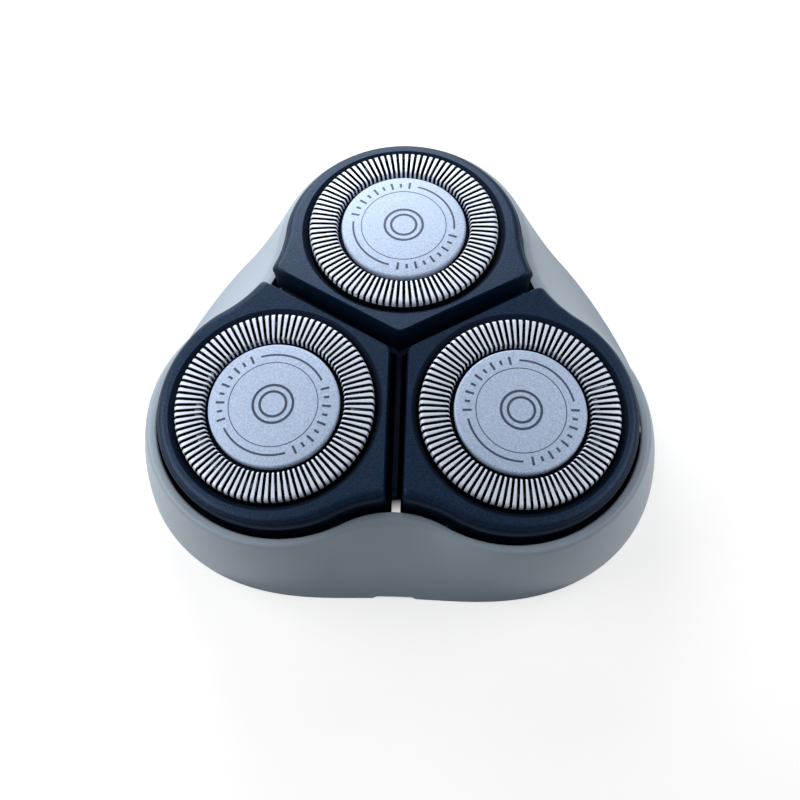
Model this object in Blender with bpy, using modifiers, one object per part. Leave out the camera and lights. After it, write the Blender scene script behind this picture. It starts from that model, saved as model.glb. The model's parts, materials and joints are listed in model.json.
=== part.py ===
"""Three-headed rotary shaving unit: a light three-lobed housing with three tilting heads.

Each head is a dark frame that carries a slotted steel guard with a silver centre disc, a
steel cutter on a plastic drive hub, and a bayonet ring that holds them in from below.
The model stands on its open base, in metres, +Z up, with the rear head towards +Y.
"""
import bmesh
import bpy
import numpy as np
from math import asin, atan2, cos, pi, radians, sin, sqrt
from mathutils import Matrix, Vector

MM = 0.001
THIRD = 2 * pi / 3
COS60 = cos(pi / 3)
SIN60 = sin(pi / 3)

# Layout of the unit, from its three-fold axis and its base
HEAD_ANGLES = {"rear": radians(90), "left": radians(210), "right": radians(330)}
HEAD_OFFSET = 15.1 * MM
HEAD_TILT = radians(4.8)
FACE_HEIGHT = 15.5 * MM
FIT_GAP = 0.3 * MM

# Three-lobed outline of the head frames, seen from above
LOBE_OFFSET = 14.7 * MM
LOBE_RADIUS = 12.9 * MM
WAIST_RADIUS = 14.0 * MM

# Housing shell
RIM_DROP = 4.2 * MM
RIM_GAP = 0.45 * MM
RIM_WIDTH = 1.25 * MM
RIM_ROUND = 0.35 * MM
SHELL_WALL = 1.25 * MM
BASE_LOBE_REACH = 30.84 * MM
BASE_SIDE_REACH = 27.15 * MM
BASE_FRONT_REACH = 24.26 * MM
BASE_SQUARING = -0.29 * MM
WALL_BULGE = 0.2 * MM
FLARE_POWER = 0.89
SHELL_SIDES = 60
SHELL_LEVELS = (1.0, 0.7, 0.4, 0.12)
INNER_LEVELS = (0.3, 0.65, 1.0)
NOTCH_WIDTH = 4.1 * MM
NOTCH_DEPTH = 5.0 * MM
NOTCH_HEIGHT = 1.0 * MM
BEAD_WIDTH = 4.0 * MM
BEAD_HEIGHT = 0.8 * MM
BEAD_REACH = 0.6 * MM

# Head carrier: a plate with three openings, a three-armed rib and six hinge ears
PLATE_DEPTH = 9.3 * MM
PLATE_THICKNESS = 1.2 * MM
OPENING_RADIUS = 11.5 * MM
RIB_THICKNESS = 0.6 * MM
RIB_DROP = 2.6 * MM
RIB_NOSE = 16.3 * MM
RIB_NOSE_HEIGHT = 1.9 * MM
RIB_FOOT = 12.6 * MM
POST_RADIUS = 1.9 * MM
POST_DROP = 7.6 * MM
POST_SIDES = 12
DRAIN_START = 13.9 * MM
DRAIN_LENGTH = 2.1 * MM
DRAIN_WIDTH = 1.0 * MM
OPENING_SIDES = 36
EAR_RADIUS = 1.4 * MM
EAR_THICKNESS = 0.7 * MM
EAR_POINTS = 7

# Head frame: the petal, its stepped bore, trunnions and bayonet hooks
HINGE_DEPTH = 7.0 * MM
PETAL_DROP = 0.7 * MM
PETAL_GAP = 2.05 * MM
PETAL_HEIGHT = 4.5 * MM
PETAL_FLARE = 0.2 * MM
FLARE_DEPTH = 3.4 * MM
EDGE_ROUND = 0.2 * MM
SIDE_ROUND = 0.2 * MM
APEX_RADIUS = 0.8 * MM
CORNER_CUT = 0.4 * MM
LOBE_POINTS = 19
WAIST_POINTS = 6
APEX_POINTS = 4
LIP_THICKNESS = 1.0 * MM
LIP_GAP = 0.28 * MM
LIP_CHAMFER = 0.27 * MM
BORE_SIDES = 32
SEAT_GAP = 0.25 * MM
TAB_THICKNESS = 0.6 * MM
TAB_INSET = 0.05 * MM
TAB_RADIUS = 1.2 * MM
TAB_GAP = 0.45 * MM
PIN_RADIUS = 0.6 * MM
PIN_END = 13.6 * MM
PIN_SIDES = 12
HOOK_REACH = 1.0 * MM
HOOK_THICKNESS = 0.6 * MM
HOOK_WIDTH = 3.4 * MM
HOOK_ANGLES = (radians(30), radians(150), radians(270))
KEY_WIDTH = 1.4 * MM
KEY_REACH = 0.45 * MM

# Slotted guard
GUARD_RADIUS = 10.7 * MM
GUARD_WALL = 0.35 * MM
GUARD_CHAMFER = 0.3 * MM
GUARD_INNER = 7.6 * MM
GUARD_FLOOR_RADIUS = 7.4 * MM
GUARD_FLOOR_DEPTH = 1.3 * MM
FLANGE_RADIUS = 11.4 * MM
GUARD_TRAVEL = 0.5 * MM
TRAVEL_REST = 0.2 * MM
GUARD_SIDES = 30
SLOT_COUNT = 90
SLOT_WIDTH = 0.27 * MM
SLOT_MARGIN = 0.15 * MM

# Silver centre disc with its stud
DISC_RADIUS = 7.05 * MM
DISC_EDGE = 0.25 * MM
DISC_DOME = 0.05 * MM
DISC_FLAT_RADIUS = 5.3 * MM
DISC_ROLL = 0.12 * MM
DISC_SHOULDER = 0.38 * MM
DISC_SIDES = 24
DISC_THICKNESS = 1.0 * MM
STUD_RADIUS = 1.25 * MM
STUD_LENGTH = 1.4 * MM

# Cutter, its drive hub and the bayonet ring below them
BLADE_COUNT = 15
BLADE_OUTER = 10.0 * MM
BLADE_THICKNESS = 0.55 * MM
BLADE_RAKE = radians(25)
CUTTER_DISC_RADIUS = 9.0 * MM
CUTTER_PLATE = 0.4 * MM
CUTTER_PLATE_GAP = 0.55 * MM
CUTTER_SIDES = 24
BLADE_ROOT = 0.1 * MM
HUB_SPIGOT_RADIUS = 2.3 * MM
HUB_RADIUS = 3.4 * MM
HUB_LENGTH = 3.3 * MM
HUB_CHAMFER = 0.3 * MM
HUB_SIDES = 15
SOCKET_RADIUS = 1.6 * MM
SOCKET_LOBE = 0.35 * MM
SOCKET_DEPTH = 2.5 * MM
SOCKET_POINTS = 15
RING_THICKNESS = 1.2 * MM
RING_INSET = 0.1 * MM
RING_BAND = 2.1 * MM
RING_EYE_WALL = 1.2 * MM
RING_ARM_WIDTH = 2.2 * MM
RING_TURN = radians(40)
RING_NOTCH_WIDTH = 5.0 * MM
RING_NOTCH_DEPTH = 1.1 * MM
RING_GRIP_HEIGHT = 0.7 * MM
RING_GRIP_WIDTH = 0.8 * MM

# Heights below the guard face that several pieces share
LIP_BOTTOM = PETAL_DROP + LIP_THICKNESS
FLANGE_TOP = LIP_BOTTOM + TRAVEL_REST + GUARD_TRAVEL
FLANGE_BOTTOM = FLANGE_TOP + GUARD_WALL
RING_TOP = FLANGE_BOTTOM + FIT_GAP
RING_BOTTOM = RING_TOP + RING_THICKNESS
PETAL_BOTTOM = PETAL_DROP + PETAL_HEIGHT
FLOOR_BOTTOM = GUARD_FLOOR_DEPTH + GUARD_WALL
CUTTER_TOP = FLOOR_BOTTOM + CUTTER_PLATE_GAP
CUTTER_BOTTOM = CUTTER_TOP + CUTTER_PLATE
HUB_SHOULDER = CUTTER_BOTTOM + FIT_GAP
STUD_BOTTOM = DISC_THICKNESS + STUD_LENGTH

# Radii that follow from the pieces they clear
BORE_RADIUS = FLANGE_RADIUS + SEAT_GAP
RING_RADIUS = FLANGE_RADIUS - RING_INSET
STUD_HOLE = STUD_RADIUS + FIT_GAP
SPIGOT_HOLE = HUB_SPIGOT_RADIUS + FIT_GAP
EAR_FACE = BORE_RADIUS + TAB_THICKNESS + TAB_GAP
RIM_HEIGHT = FACE_HEIGHT - RIM_DROP
PLATE_TOP = FACE_HEIGHT - PLATE_DEPTH
PLATE_BOTTOM = PLATE_TOP - PLATE_THICKNESS


def clear_scene():
    """Remove every object that the file holds."""
    for item in list(bpy.data.objects):
        bpy.data.objects.remove(item, do_unlink=True)


def make_collection(name):
    """Add a collection to the scene."""
    group = bpy.data.collections.new(name)
    bpy.context.scene.collection.children.link(group)
    return group


def make_material(name, colour, roughness, metallic=0.0):
    """Principled material of one plain finish."""
    material = bpy.data.materials.new(name)
    material.use_nodes = True
    shader = material.node_tree.nodes["Principled BSDF"]
    shader.inputs["Base Color"].default_value = (*colour, 1.0)
    shader.inputs["Roughness"].default_value = roughness
    shader.inputs["Metallic"].default_value = metallic
    return material


def add_part(name, mesh, parent, material):
    """Put a mesh into the scene as a named piece of the unit."""
    item = bpy.data.objects.new(name, mesh)
    PARTS.objects.link(item)
    item.parent = parent
    mesh.materials.clear()
    mesh.materials.append(material)
    return item


def add_cutter(name, mesh, parent):
    """Put a mesh into the cutters' collection, hidden from renders."""
    item = bpy.data.objects.new(name, mesh)
    CUTTERS.objects.link(item)
    item.parent = parent
    item.hide_render = True
    item.display_type = "WIRE"
    return item


def apply_boolean(item, tool, operation):
    """Cut or join a piece with a tool object."""
    change = item.modifiers.new(tool.name, "BOOLEAN")
    change.object = tool
    change.operation = operation
    change.solver = "EXACT"
    return change


def smooth(mesh, angle=radians(35)):
    """Shade a mesh smooth and keep its sharp edges."""
    mesh.shade_smooth()
    mesh.set_sharp_from_angle(angle=angle)


def mesh_from_bmesh(name, bm):
    """Close a bmesh into a named mesh with its faces pointing out."""
    bmesh.ops.recalc_face_normals(bm, faces=bm.faces)
    mesh = bpy.data.meshes.new(name)
    bm.to_mesh(mesh)
    bm.free()
    smooth(mesh)
    return mesh


def loft_mesh(name, rings, closed):
    """Skin rings of equal length, from outside bottom upwards; closed joins last to first."""
    bm = bmesh.new()
    rows = [[bm.verts.new(point) for point in ring] for ring in rings]
    pairs = list(zip(rows, rows[1:]))
    if closed:
        pairs.append((rows[-1], rows[0]))
    for low, high in pairs:
        count = len(low)
        for index in range(count):
            after = (index + 1) % count
            bm.faces.new((low[index], low[after], high[after], high[index]))
    if not closed:
        bm.faces.new(rows[0])
        bm.faces.new(rows[-1])
    return mesh_from_bmesh(name, bm)


def prism_mesh(name, outline, low, high):
    """Extrude a flat closed outline of (x, y) points between two heights."""
    rings = [[(x, y, z) for x, y in outline] for z in (low, high)]
    return loft_mesh(name, rings, closed=False)


def turned_mesh(name, profile, sides, closed):
    """Turn an (r, z) profile about Z; it runs down the outer side, and closed joins its ends."""
    source = bpy.data.meshes.new(name + "_profile")
    count = len(profile)
    edges = [(index, index + 1) for index in range(count - 1)]
    if closed:
        edges.append((count - 1, 0))
    source.from_pydata([(r, 0.0, z) for r, z in profile], edges, [])
    guide = bpy.data.objects.new(name + "_profile", source)
    CUTTERS.objects.link(guide)
    screw = guide.modifiers.new("turn", "SCREW")
    screw.steps = sides
    screw.render_steps = sides
    screw.use_merge_vertices = True
    screw.merge_threshold = 0.00001
    bpy.context.view_layer.update()
    graph = bpy.context.evaluated_depsgraph_get()
    mesh = bpy.data.meshes.new_from_object(guide.evaluated_get(graph))
    mesh.name = name
    bpy.data.objects.remove(guide, do_unlink=True)
    smooth(mesh)
    return mesh


def cylinder_mesh(name, radius, low, high, sides):
    """Closed cylinder about Z between two heights."""
    bm = bmesh.new()
    shift = Matrix.Translation((0, 0, (low + high) / 2))
    bmesh.ops.create_cone(bm, cap_ends=True, segments=sides, radius1=radius, radius2=radius,
                          depth=high - low, matrix=shift)
    return mesh_from_bmesh(name, bm)


def boxes_mesh(name, boxes):
    """Separate boxes in one mesh, each given as a matrix and its three side lengths."""
    bm = bmesh.new()
    for place, sides in boxes:
        bmesh.ops.create_cube(bm, size=1.0, matrix=place @ Matrix.Diagonal((*sides, 1.0)))
    return mesh_from_bmesh(name, bm)


def waist_offset(lobe_offset, reach):
    """Distance from the axis to the centre of the arc that joins two lobes."""
    return (lobe_offset + sqrt(4 * reach ** 2 - 3 * lobe_offset ** 2)) / 2


def trefoil_radius(angles, lobe_offset, lobe_radius, waist_radius, grow=0.0):
    """Distance from the axis to a three-lobed outline, grown outwards, at each angle."""
    folded = np.abs((angles - pi / 2 + pi / 3) % THIRD - pi / 3)
    reach = lobe_radius + waist_radius
    waist = waist_offset(lobe_offset, reach)
    share = (lobe_radius + grow) / reach
    touch = atan2(waist * SIN60 * share, lobe_offset + (waist * COS60 - lobe_offset) * share)
    lobe_root = (lobe_radius + grow) ** 2 - (lobe_offset * np.sin(folded)) ** 2
    lobe = lobe_offset * np.cos(folded) + np.sqrt(np.maximum(lobe_root, 0))
    turned = pi / 3 - folded
    waist_root = (waist_radius - grow) ** 2 - (waist * np.sin(turned)) ** 2
    arc = waist * np.cos(turned) - np.sqrt(np.maximum(waist_root, 0))
    return np.where(folded <= touch, lobe, arc)


def rim_radius(angles, grow):
    """Radius of the head frames' common outline, grown outwards."""
    return trefoil_radius(angles, LOBE_OFFSET, LOBE_RADIUS, WAIST_RADIUS, grow)


def base_radius(angles):
    """Radius of the housing's base: a cosine series through its reach at the lobes, at the two
    side waists and at the flatter front waist, with a small fourth wave that squares it."""
    turned = angles - pi / 2
    pull = (BASE_SIDE_REACH - BASE_FRONT_REACH) / 3
    middle = (BASE_LOBE_REACH + BASE_FRONT_REACH) / 2 + pull
    lobes = (BASE_LOBE_REACH - BASE_FRONT_REACH) / 2 - pull
    return (middle + pull * (np.cos(turned) - np.cos(2 * turned)) + lobes * np.cos(3 * turned)
            + BASE_SQUARING * np.cos(4 * turned))


def wall_radius(angles, level):
    """Radius of the housing's outer wall, at a level from 0 at the rim to 1 at the base."""
    rim = rim_radius(angles, RIM_GAP + RIM_WIDTH)
    flare = (base_radius(angles) - rim) * level ** FLARE_POWER
    return rim + flare + WALL_BULGE * 4 * level * (1 - level)


def wall_ring(angles, radii, height):
    """Points of a horizontal ring about the unit's axis."""
    return np.c_[radii * np.cos(angles), radii * np.sin(angles), np.full(len(angles), height)]


def shell_rings():
    """Rings of the housing, up its outer wall, over the rim and down its inner wall."""
    angles = pi / 2 + np.arange(SHELL_SIDES) * 2 * pi / SHELL_SIDES
    rings = [wall_ring(angles, wall_radius(angles, level), RIM_HEIGHT * (1 - level))
             for level in SHELL_LEVELS]
    rim_outer = rim_radius(angles, RIM_GAP + RIM_WIDTH - RIM_ROUND)
    rings.append(wall_ring(angles, rim_outer, RIM_HEIGHT))
    rings.append(wall_ring(angles, rim_radius(angles, RIM_GAP + RIM_ROUND), RIM_HEIGHT))
    rings.append(wall_ring(angles, rim_radius(angles, RIM_GAP), RIM_HEIGHT - RIM_ROUND))
    for level in INNER_LEVELS:
        inner = wall_radius(angles, level) - SHELL_WALL
        rings.append(wall_ring(angles, inner, RIM_HEIGHT * (1 - level)))
    return rings


def axis_shift():
    """Place of the three-fold axis along Y, with the outline's box centred on the origin."""
    points = np.concatenate(shell_rings())
    return -(points[:, 1].max() + points[:, 1].min()) / 2


def head_matrix(angle):
    """Frame of a head: origin on its hinge axis, +Y outwards, +Z up through the guard."""
    turn = Matrix.Rotation(angle - pi / 2, 4, "Z") @ Matrix.Rotation(-HEAD_TILT, 4, "X")
    face = Vector((HEAD_OFFSET * cos(angle), HEAD_OFFSET * sin(angle), FACE_HEIGHT))
    return Matrix.Translation(face) @ turn @ Matrix.Translation((0, 0, -HINGE_DEPTH))


def up(depth):
    """Height in a head's frame of a depth below its guard face."""
    return HINGE_DEPTH - depth


def petal_outline(grow, side_grow):
    """Outline of a head frame from above: an outer lobe, two waist corners and an apex."""
    centre = LOBE_OFFSET - HEAD_OFFSET
    waist = waist_offset(LOBE_OFFSET, LOBE_RADIUS + WAIST_RADIUS)
    touch = atan2(waist * COS60 - LOBE_OFFSET, waist * SIN60)
    lobe = [(cos(turn) * (LOBE_RADIUS + grow), centre + sin(turn) * (LOBE_RADIUS + grow))
            for turn in np.linspace(touch, pi - touch, LOBE_POINTS)]
    lateral = PETAL_GAP / 2 - side_grow
    arc_radius = WAIST_RADIUS - grow
    first = asin((lateral + CORNER_CUT) / arc_radius)
    last = atan2(LOBE_OFFSET * SIN60, waist - LOBE_OFFSET * COS60)
    corner = []
    for turn in np.linspace(last, first, WAIST_POINTS)[1:]:
        along = waist - arc_radius * cos(turn)
        across = arc_radius * sin(turn)
        corner.append((across, along))
    corner_along = waist - sqrt(arc_radius ** 2 - lateral ** 2)
    corner.append((lateral, corner_along - CORNER_CUT))
    left = [(-(along * SIN60 - across * COS60), along * COS60 + across * SIN60 - HEAD_OFFSET)
            for across, along in corner]
    apex_v = lateral / SIN60 - HEAD_OFFSET + APEX_RADIUS / COS60
    apex = [(APEX_RADIUS * cos(turn), apex_v + APEX_RADIUS * sin(turn))
            for turn in np.linspace(radians(240), radians(300), APEX_POINTS)]
    right = [(-u, v) for u, v in reversed(left)]
    return lobe + left + apex + right


def petal_solid(name):
    """Outer form of a head frame: flared walls and a rounded top edge."""
    levels = (
        (PETAL_BOTTOM, PETAL_FLARE, 0.0),
        (PETAL_DROP + FLARE_DEPTH, PETAL_FLARE, 0.0),
        (PETAL_DROP + EDGE_ROUND, 0.0, 0.0),
        (PETAL_DROP, -EDGE_ROUND, -SIDE_ROUND),
    )
    rings = [[(u, v, up(depth)) for u, v in petal_outline(grow, side)]
             for depth, grow, side in levels]
    return loft_mesh(name, rings, closed=False)


def bore_mesh(name):
    """Stepped bore of a head frame: chamfered lip above, wider seat below."""
    lip = GUARD_RADIUS + LIP_GAP
    above = up(PETAL_DROP) + FIT_GAP
    profile = [(0, above), (lip + LIP_CHAMFER, above), (lip + LIP_CHAMFER, up(PETAL_DROP)),
               (lip, up(PETAL_DROP) - LIP_CHAMFER), (lip, up(LIP_BOTTOM)),
               (BORE_RADIUS, up(LIP_BOTTOM)), (BORE_RADIUS, up(PETAL_BOTTOM) - FIT_GAP),
               (0, up(PETAL_BOTTOM) - FIT_GAP)]
    return turned_mesh(name, profile, BORE_SIDES, closed=False)


def ear_outline(radius, far):
    """Outline in a plane across the hinge: a half round at the axis and a straight foot."""
    arc = [(radius * cos(turn), radius * sin(turn)) for turn in np.linspace(0, pi, EAR_POINTS)]
    return arc + [(-radius, far), (radius, far)]


def upright_mesh(name, outline, near, far):
    """Extrude an outline of (v, z) points along U, on both sides of the head."""
    bm = bmesh.new()
    for side in (-1, 1):
        rows = [[bm.verts.new((side * u, v, z)) for v, z in outline] for u in (near, far)]
        count = len(outline)
        for index in range(count):
            after = (index + 1) % count
            bm.faces.new((rows[0][index], rows[0][after], rows[1][after], rows[1][index]))
        bm.faces.new(rows[0])
        bm.faces.new(rows[1])
    return mesh_from_bmesh(name, bm)


def pins_mesh(name, radius, near, far):
    """Two round pins along U, on both sides of the head."""
    bm = bmesh.new()
    for side in (-1, 1):
        place = Matrix.Translation((side * (near + far) / 2, 0, 0))
        place = place @ Matrix.Rotation(pi / 2, 4, "Y")
        bmesh.ops.create_cone(bm, cap_ends=True, segments=PIN_SIDES, radius1=radius,
                              radius2=radius, depth=far - near, matrix=place)
    return mesh_from_bmesh(name, bm)


def radial_boxes(name, angles, near, far, low, high, width, rake=0.0):
    """Boxes that reach from one radius to another at each angle, leaning by the rake."""
    boxes = []
    for angle in angles:
        place = Matrix.Rotation(angle, 4, "Z")
        place = place @ Matrix.Translation(((near + far) / 2, 0, (low + high) / 2))
        place = place @ Matrix.Rotation(rake, 4, "X")
        boxes.append((place, (far - near, width, high - low)))
    return boxes_mesh(name, boxes)


def build_shell(parent, material):
    """Housing shell, with a finger notch in its front edge and three snap beads inside."""
    shell = add_part("housing_shell", loft_mesh("housing_shell", shell_rings(), True), parent, material)
    waist = wall_radius(np.array([-pi / 2]), 1.0)[0]
    notch = boxes_mesh("shell_notch", [(Matrix.Translation((0, -waist, 0)),
                                        (NOTCH_WIDTH, NOTCH_DEPTH, 2 * NOTCH_HEIGHT))])
    apply_boolean(shell, add_cutter("shell_notch", notch, parent), "DIFFERENCE")
    top = PLATE_BOTTOM - FIT_GAP
    level = 1 - top / RIM_HEIGHT
    for side, angle in HEAD_ANGLES.items():
        inner = wall_radius(np.array([angle]), level)[0] - SHELL_WALL
        bead = radial_boxes("shell_bead", [angle], inner - BEAD_REACH, inner + SHELL_WALL / 2,
                            top - BEAD_HEIGHT, top, BEAD_WIDTH)
        apply_boolean(shell, add_cutter("shell_bead_" + side, bead, parent), "UNION")
    return shell


def rib_mesh(name):
    """Three upright ribs that run out from the axis between the heads."""
    top = FACE_HEIGHT - RIB_DROP
    foot = PLATE_TOP - PLATE_THICKNESS / 2
    nose = top - RIB_NOSE_HEIGHT
    side = [(0, foot), (RIB_FOOT, foot), (RIB_FOOT, nose - RIB_NOSE_HEIGHT), (RIB_NOSE, nose),
            (RIB_NOSE, top - RIB_THICKNESS), (RIB_NOSE - RIB_THICKNESS, top), (0, top)]
    bm = bmesh.new()
    for angle in HEAD_ANGLES.values():
        turn = Matrix.Rotation(angle + pi, 4, "Z")
        rows = [[bm.verts.new(turn @ Vector((r, across, z))) for r, z in side]
                for across in (-RIB_THICKNESS / 2, RIB_THICKNESS / 2)]
        count = len(side)
        for index in range(count):
            after = (index + 1) % count
            bm.faces.new((rows[0][index], rows[0][after], rows[1][after], rows[1][index]))
        bm.faces.new(rows[0])
        bm.faces.new(rows[1])
    return mesh_from_bmesh(name, bm)


def build_carrier(parent, heads, material):
    """Head carrier: plate, head openings, drain slots, ribs with their post, hinge ears."""
    angles = pi / 2 + np.arange(SHELL_SIDES) * 2 * pi / SHELL_SIDES
    radii = wall_radius(angles, 1 - PLATE_TOP / RIM_HEIGHT) - SHELL_WALL - FIT_GAP
    outline = wall_ring(angles, radii, 0)[:, :2]
    plate = prism_mesh("head_carrier", outline, PLATE_BOTTOM, PLATE_TOP)
    carrier = add_part("head_carrier", plate, parent, material)
    opening = cylinder_mesh("head_opening", OPENING_RADIUS, up(FACE_HEIGHT), 0, OPENING_SIDES)
    for name, head in heads.items():
        apply_boolean(carrier, add_cutter("opening_" + name, opening, head), "DIFFERENCE")
    drains = radial_boxes("drain_slots", [angle + pi for angle in HEAD_ANGLES.values()],
                          DRAIN_START, DRAIN_START + DRAIN_LENGTH,
                          PLATE_BOTTOM - FIT_GAP, PLATE_TOP + FIT_GAP, DRAIN_WIDTH)
    apply_boolean(carrier, add_cutter("drain_slots", drains, parent), "DIFFERENCE")
    post = cylinder_mesh("rib_post", POST_RADIUS, PLATE_BOTTOM, FACE_HEIGHT - POST_DROP, POST_SIDES)
    apply_boolean(carrier, add_cutter("rib_post", post, parent), "UNION")
    ribs = add_cutter("ribs", rib_mesh("ribs"), parent)
    union = apply_boolean(carrier, ribs, "UNION")
    union.use_self = True
    foot = up(PLATE_DEPTH + PLATE_THICKNESS / 2)
    ears = upright_mesh("hinge_ears", ear_outline(EAR_RADIUS, foot), EAR_FACE, EAR_FACE + EAR_THICKNESS)
    holes = pins_mesh("hinge_holes", PIN_RADIUS + FIT_GAP, EAR_FACE - FIT_GAP,
                      EAR_FACE + EAR_THICKNESS + FIT_GAP)
    for name, head in heads.items():
        apply_boolean(carrier, add_cutter("hinge_ears_" + name, ears, head), "UNION")
        apply_boolean(carrier, add_cutter("hinge_holes_" + name, holes, head), "DIFFERENCE")
    return carrier


def build_petal(side, head, material):
    """Head frame with its bore, hinge tabs and pins, bayonet hooks and guard keys."""
    name = "head_frame_" + side
    petal = add_part(name, petal_solid(name), head, material)
    apply_boolean(petal, add_cutter("bore_" + side, bore_mesh("bore"), head), "DIFFERENCE")
    root = up(PETAL_BOTTOM) + FIT_GAP
    tab_outline = [(v, -z) for v, z in ear_outline(TAB_RADIUS, -root)]
    tabs = upright_mesh("tabs", tab_outline, BORE_RADIUS + TAB_INSET, BORE_RADIUS + TAB_THICKNESS)
    apply_boolean(petal, add_cutter("tabs_" + side, tabs, head), "UNION")
    pins = pins_mesh("pins", PIN_RADIUS, BORE_RADIUS + TAB_THICKNESS / 2, PIN_END)
    apply_boolean(petal, add_cutter("pins_" + side, pins, head), "UNION")
    hook_top = RING_BOTTOM + FIT_GAP
    hooks = radial_boxes("hooks", HOOK_ANGLES, BORE_RADIUS - HOOK_REACH, BORE_RADIUS + FIT_GAP,
                         up(hook_top + HOOK_THICKNESS), up(hook_top), HOOK_WIDTH)
    apply_boolean(petal, add_cutter("hooks_" + side, hooks, head), "UNION")
    keys = radial_boxes("keys", (0, pi), BORE_RADIUS - KEY_REACH, BORE_RADIUS + FIT_GAP,
                        up(FLANGE_BOTTOM), up(LIP_BOTTOM - FIT_GAP), KEY_WIDTH)
    apply_boolean(petal, add_cutter("keys_" + side, keys, head), "UNION")
    return petal


def build_guard(side, head, material):
    """Slotted guard: a thin cup with a flange, a slotted crown and a sunk floor."""
    wall = GUARD_WALL
    profile = [
        (GUARD_INNER, up(0)), (GUARD_RADIUS - GUARD_CHAMFER, up(0)),
        (GUARD_RADIUS, up(GUARD_CHAMFER)), (GUARD_RADIUS, up(FLANGE_TOP)),
        (FLANGE_RADIUS, up(FLANGE_TOP)), (FLANGE_RADIUS, up(FLANGE_BOTTOM)),
        (GUARD_RADIUS - wall, up(FLANGE_BOTTOM)), (GUARD_RADIUS - wall, up(wall)),
        (GUARD_INNER + wall, up(wall)), (GUARD_FLOOR_RADIUS + wall, up(FLOOR_BOTTOM)),
        (STUD_HOLE, up(FLOOR_BOTTOM)), (STUD_HOLE, up(GUARD_FLOOR_DEPTH)),
        (GUARD_FLOOR_RADIUS, up(GUARD_FLOOR_DEPTH)),
    ]
    name = "guard_" + side
    guard = add_part(name, turned_mesh(name, profile, GUARD_SIDES, closed=True), head, material)
    pitch = 2 * pi / SLOT_COUNT
    slots = radial_boxes("slots", [(index + 0.5) * pitch for index in range(SLOT_COUNT)],
                         GUARD_INNER + wall, GUARD_RADIUS - wall - SLOT_MARGIN,
                         up(2 * wall), up(-FIT_GAP), SLOT_WIDTH)
    apply_boolean(guard, add_cutter("slots_" + side, slots, head), "DIFFERENCE")
    notches = radial_boxes("guard_notches", (0, pi), BORE_RADIUS - KEY_REACH - FIT_GAP,
                           FLANGE_RADIUS + FIT_GAP, up(FLANGE_BOTTOM + FIT_GAP),
                           up(FLANGE_TOP - FIT_GAP), KEY_WIDTH + 2 * FIT_GAP)
    apply_boolean(guard, add_cutter("guard_notches_" + side, notches, head), "DIFFERENCE")
    return guard


def build_disc(side, head, material):
    """Silver centre disc, gently domed, with the stud that goes down through the guard."""
    profile = [
        (0, up(-DISC_DOME)), (DISC_FLAT_RADIUS, up(0)), (DISC_RADIUS - DISC_EDGE, up(DISC_ROLL)),
        (DISC_RADIUS, up(DISC_SHOULDER)), (DISC_RADIUS, up(DISC_THICKNESS)),
        (STUD_RADIUS, up(DISC_THICKNESS)), (STUD_RADIUS, up(STUD_BOTTOM)), (0, up(STUD_BOTTOM)),
    ]
    name = "centre_disc_" + side
    return add_part(name, turned_mesh(name, profile, DISC_SIDES, closed=False), head, material)


def build_cutter(side, head, material):
    """Steel cutter: a pierced disc with a ring of raked blades that stand up from it."""
    name = "cutter_" + side
    profile = [(CUTTER_DISC_RADIUS, up(CUTTER_TOP)), (CUTTER_DISC_RADIUS, up(CUTTER_BOTTOM)),
               (SPIGOT_HOLE, up(CUTTER_BOTTOM)), (SPIGOT_HOLE, up(CUTTER_TOP))]
    cutter = add_part(name, turned_mesh(name, profile, CUTTER_SIDES, closed=True), head, material)
    inner = GUARD_INNER + GUARD_WALL + FIT_GAP
    top = GUARD_WALL + FIT_GAP
    pitch = 2 * pi / BLADE_COUNT
    blades = radial_boxes("blades", [index * pitch for index in range(BLADE_COUNT)], inner,
                          BLADE_OUTER, up(CUTTER_BOTTOM - BLADE_ROOT), up(top),
                          BLADE_THICKNESS, BLADE_RAKE)
    apply_boolean(cutter, add_cutter("blades_" + side, blades, head), "UNION")
    return cutter


def build_hub(side, head, material):
    """Plastic drive hub under the cutter, with a recess for the stud and a lobed socket."""
    top = CUTTER_TOP - FIT_GAP
    recess = STUD_BOTTOM + FIT_GAP
    bottom = HUB_SHOULDER + HUB_LENGTH
    profile = [
        (0, up(recess)), (STUD_HOLE, up(recess)), (STUD_HOLE, up(top)),
        (HUB_SPIGOT_RADIUS, up(top)), (HUB_SPIGOT_RADIUS, up(HUB_SHOULDER)),
        (HUB_RADIUS, up(HUB_SHOULDER)), (HUB_RADIUS, up(bottom - HUB_CHAMFER)),
        (HUB_RADIUS - HUB_CHAMFER, up(bottom)), (0, up(bottom)),
    ]
    name = "drive_hub_" + side
    hub = add_part(name, turned_mesh(name, profile, HUB_SIDES, closed=False), head, material)
    outline = []
    for turn in np.arange(SOCKET_POINTS) * 2 * pi / SOCKET_POINTS:
        radius = SOCKET_RADIUS + SOCKET_LOBE * cos(3 * turn)
        outline.append((radius * cos(turn), radius * sin(turn)))
    socket = prism_mesh("socket", outline, up(bottom + FIT_GAP), up(bottom - SOCKET_DEPTH))
    apply_boolean(hub, add_cutter("socket_" + side, socket, head), "DIFFERENCE")
    return hub


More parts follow.
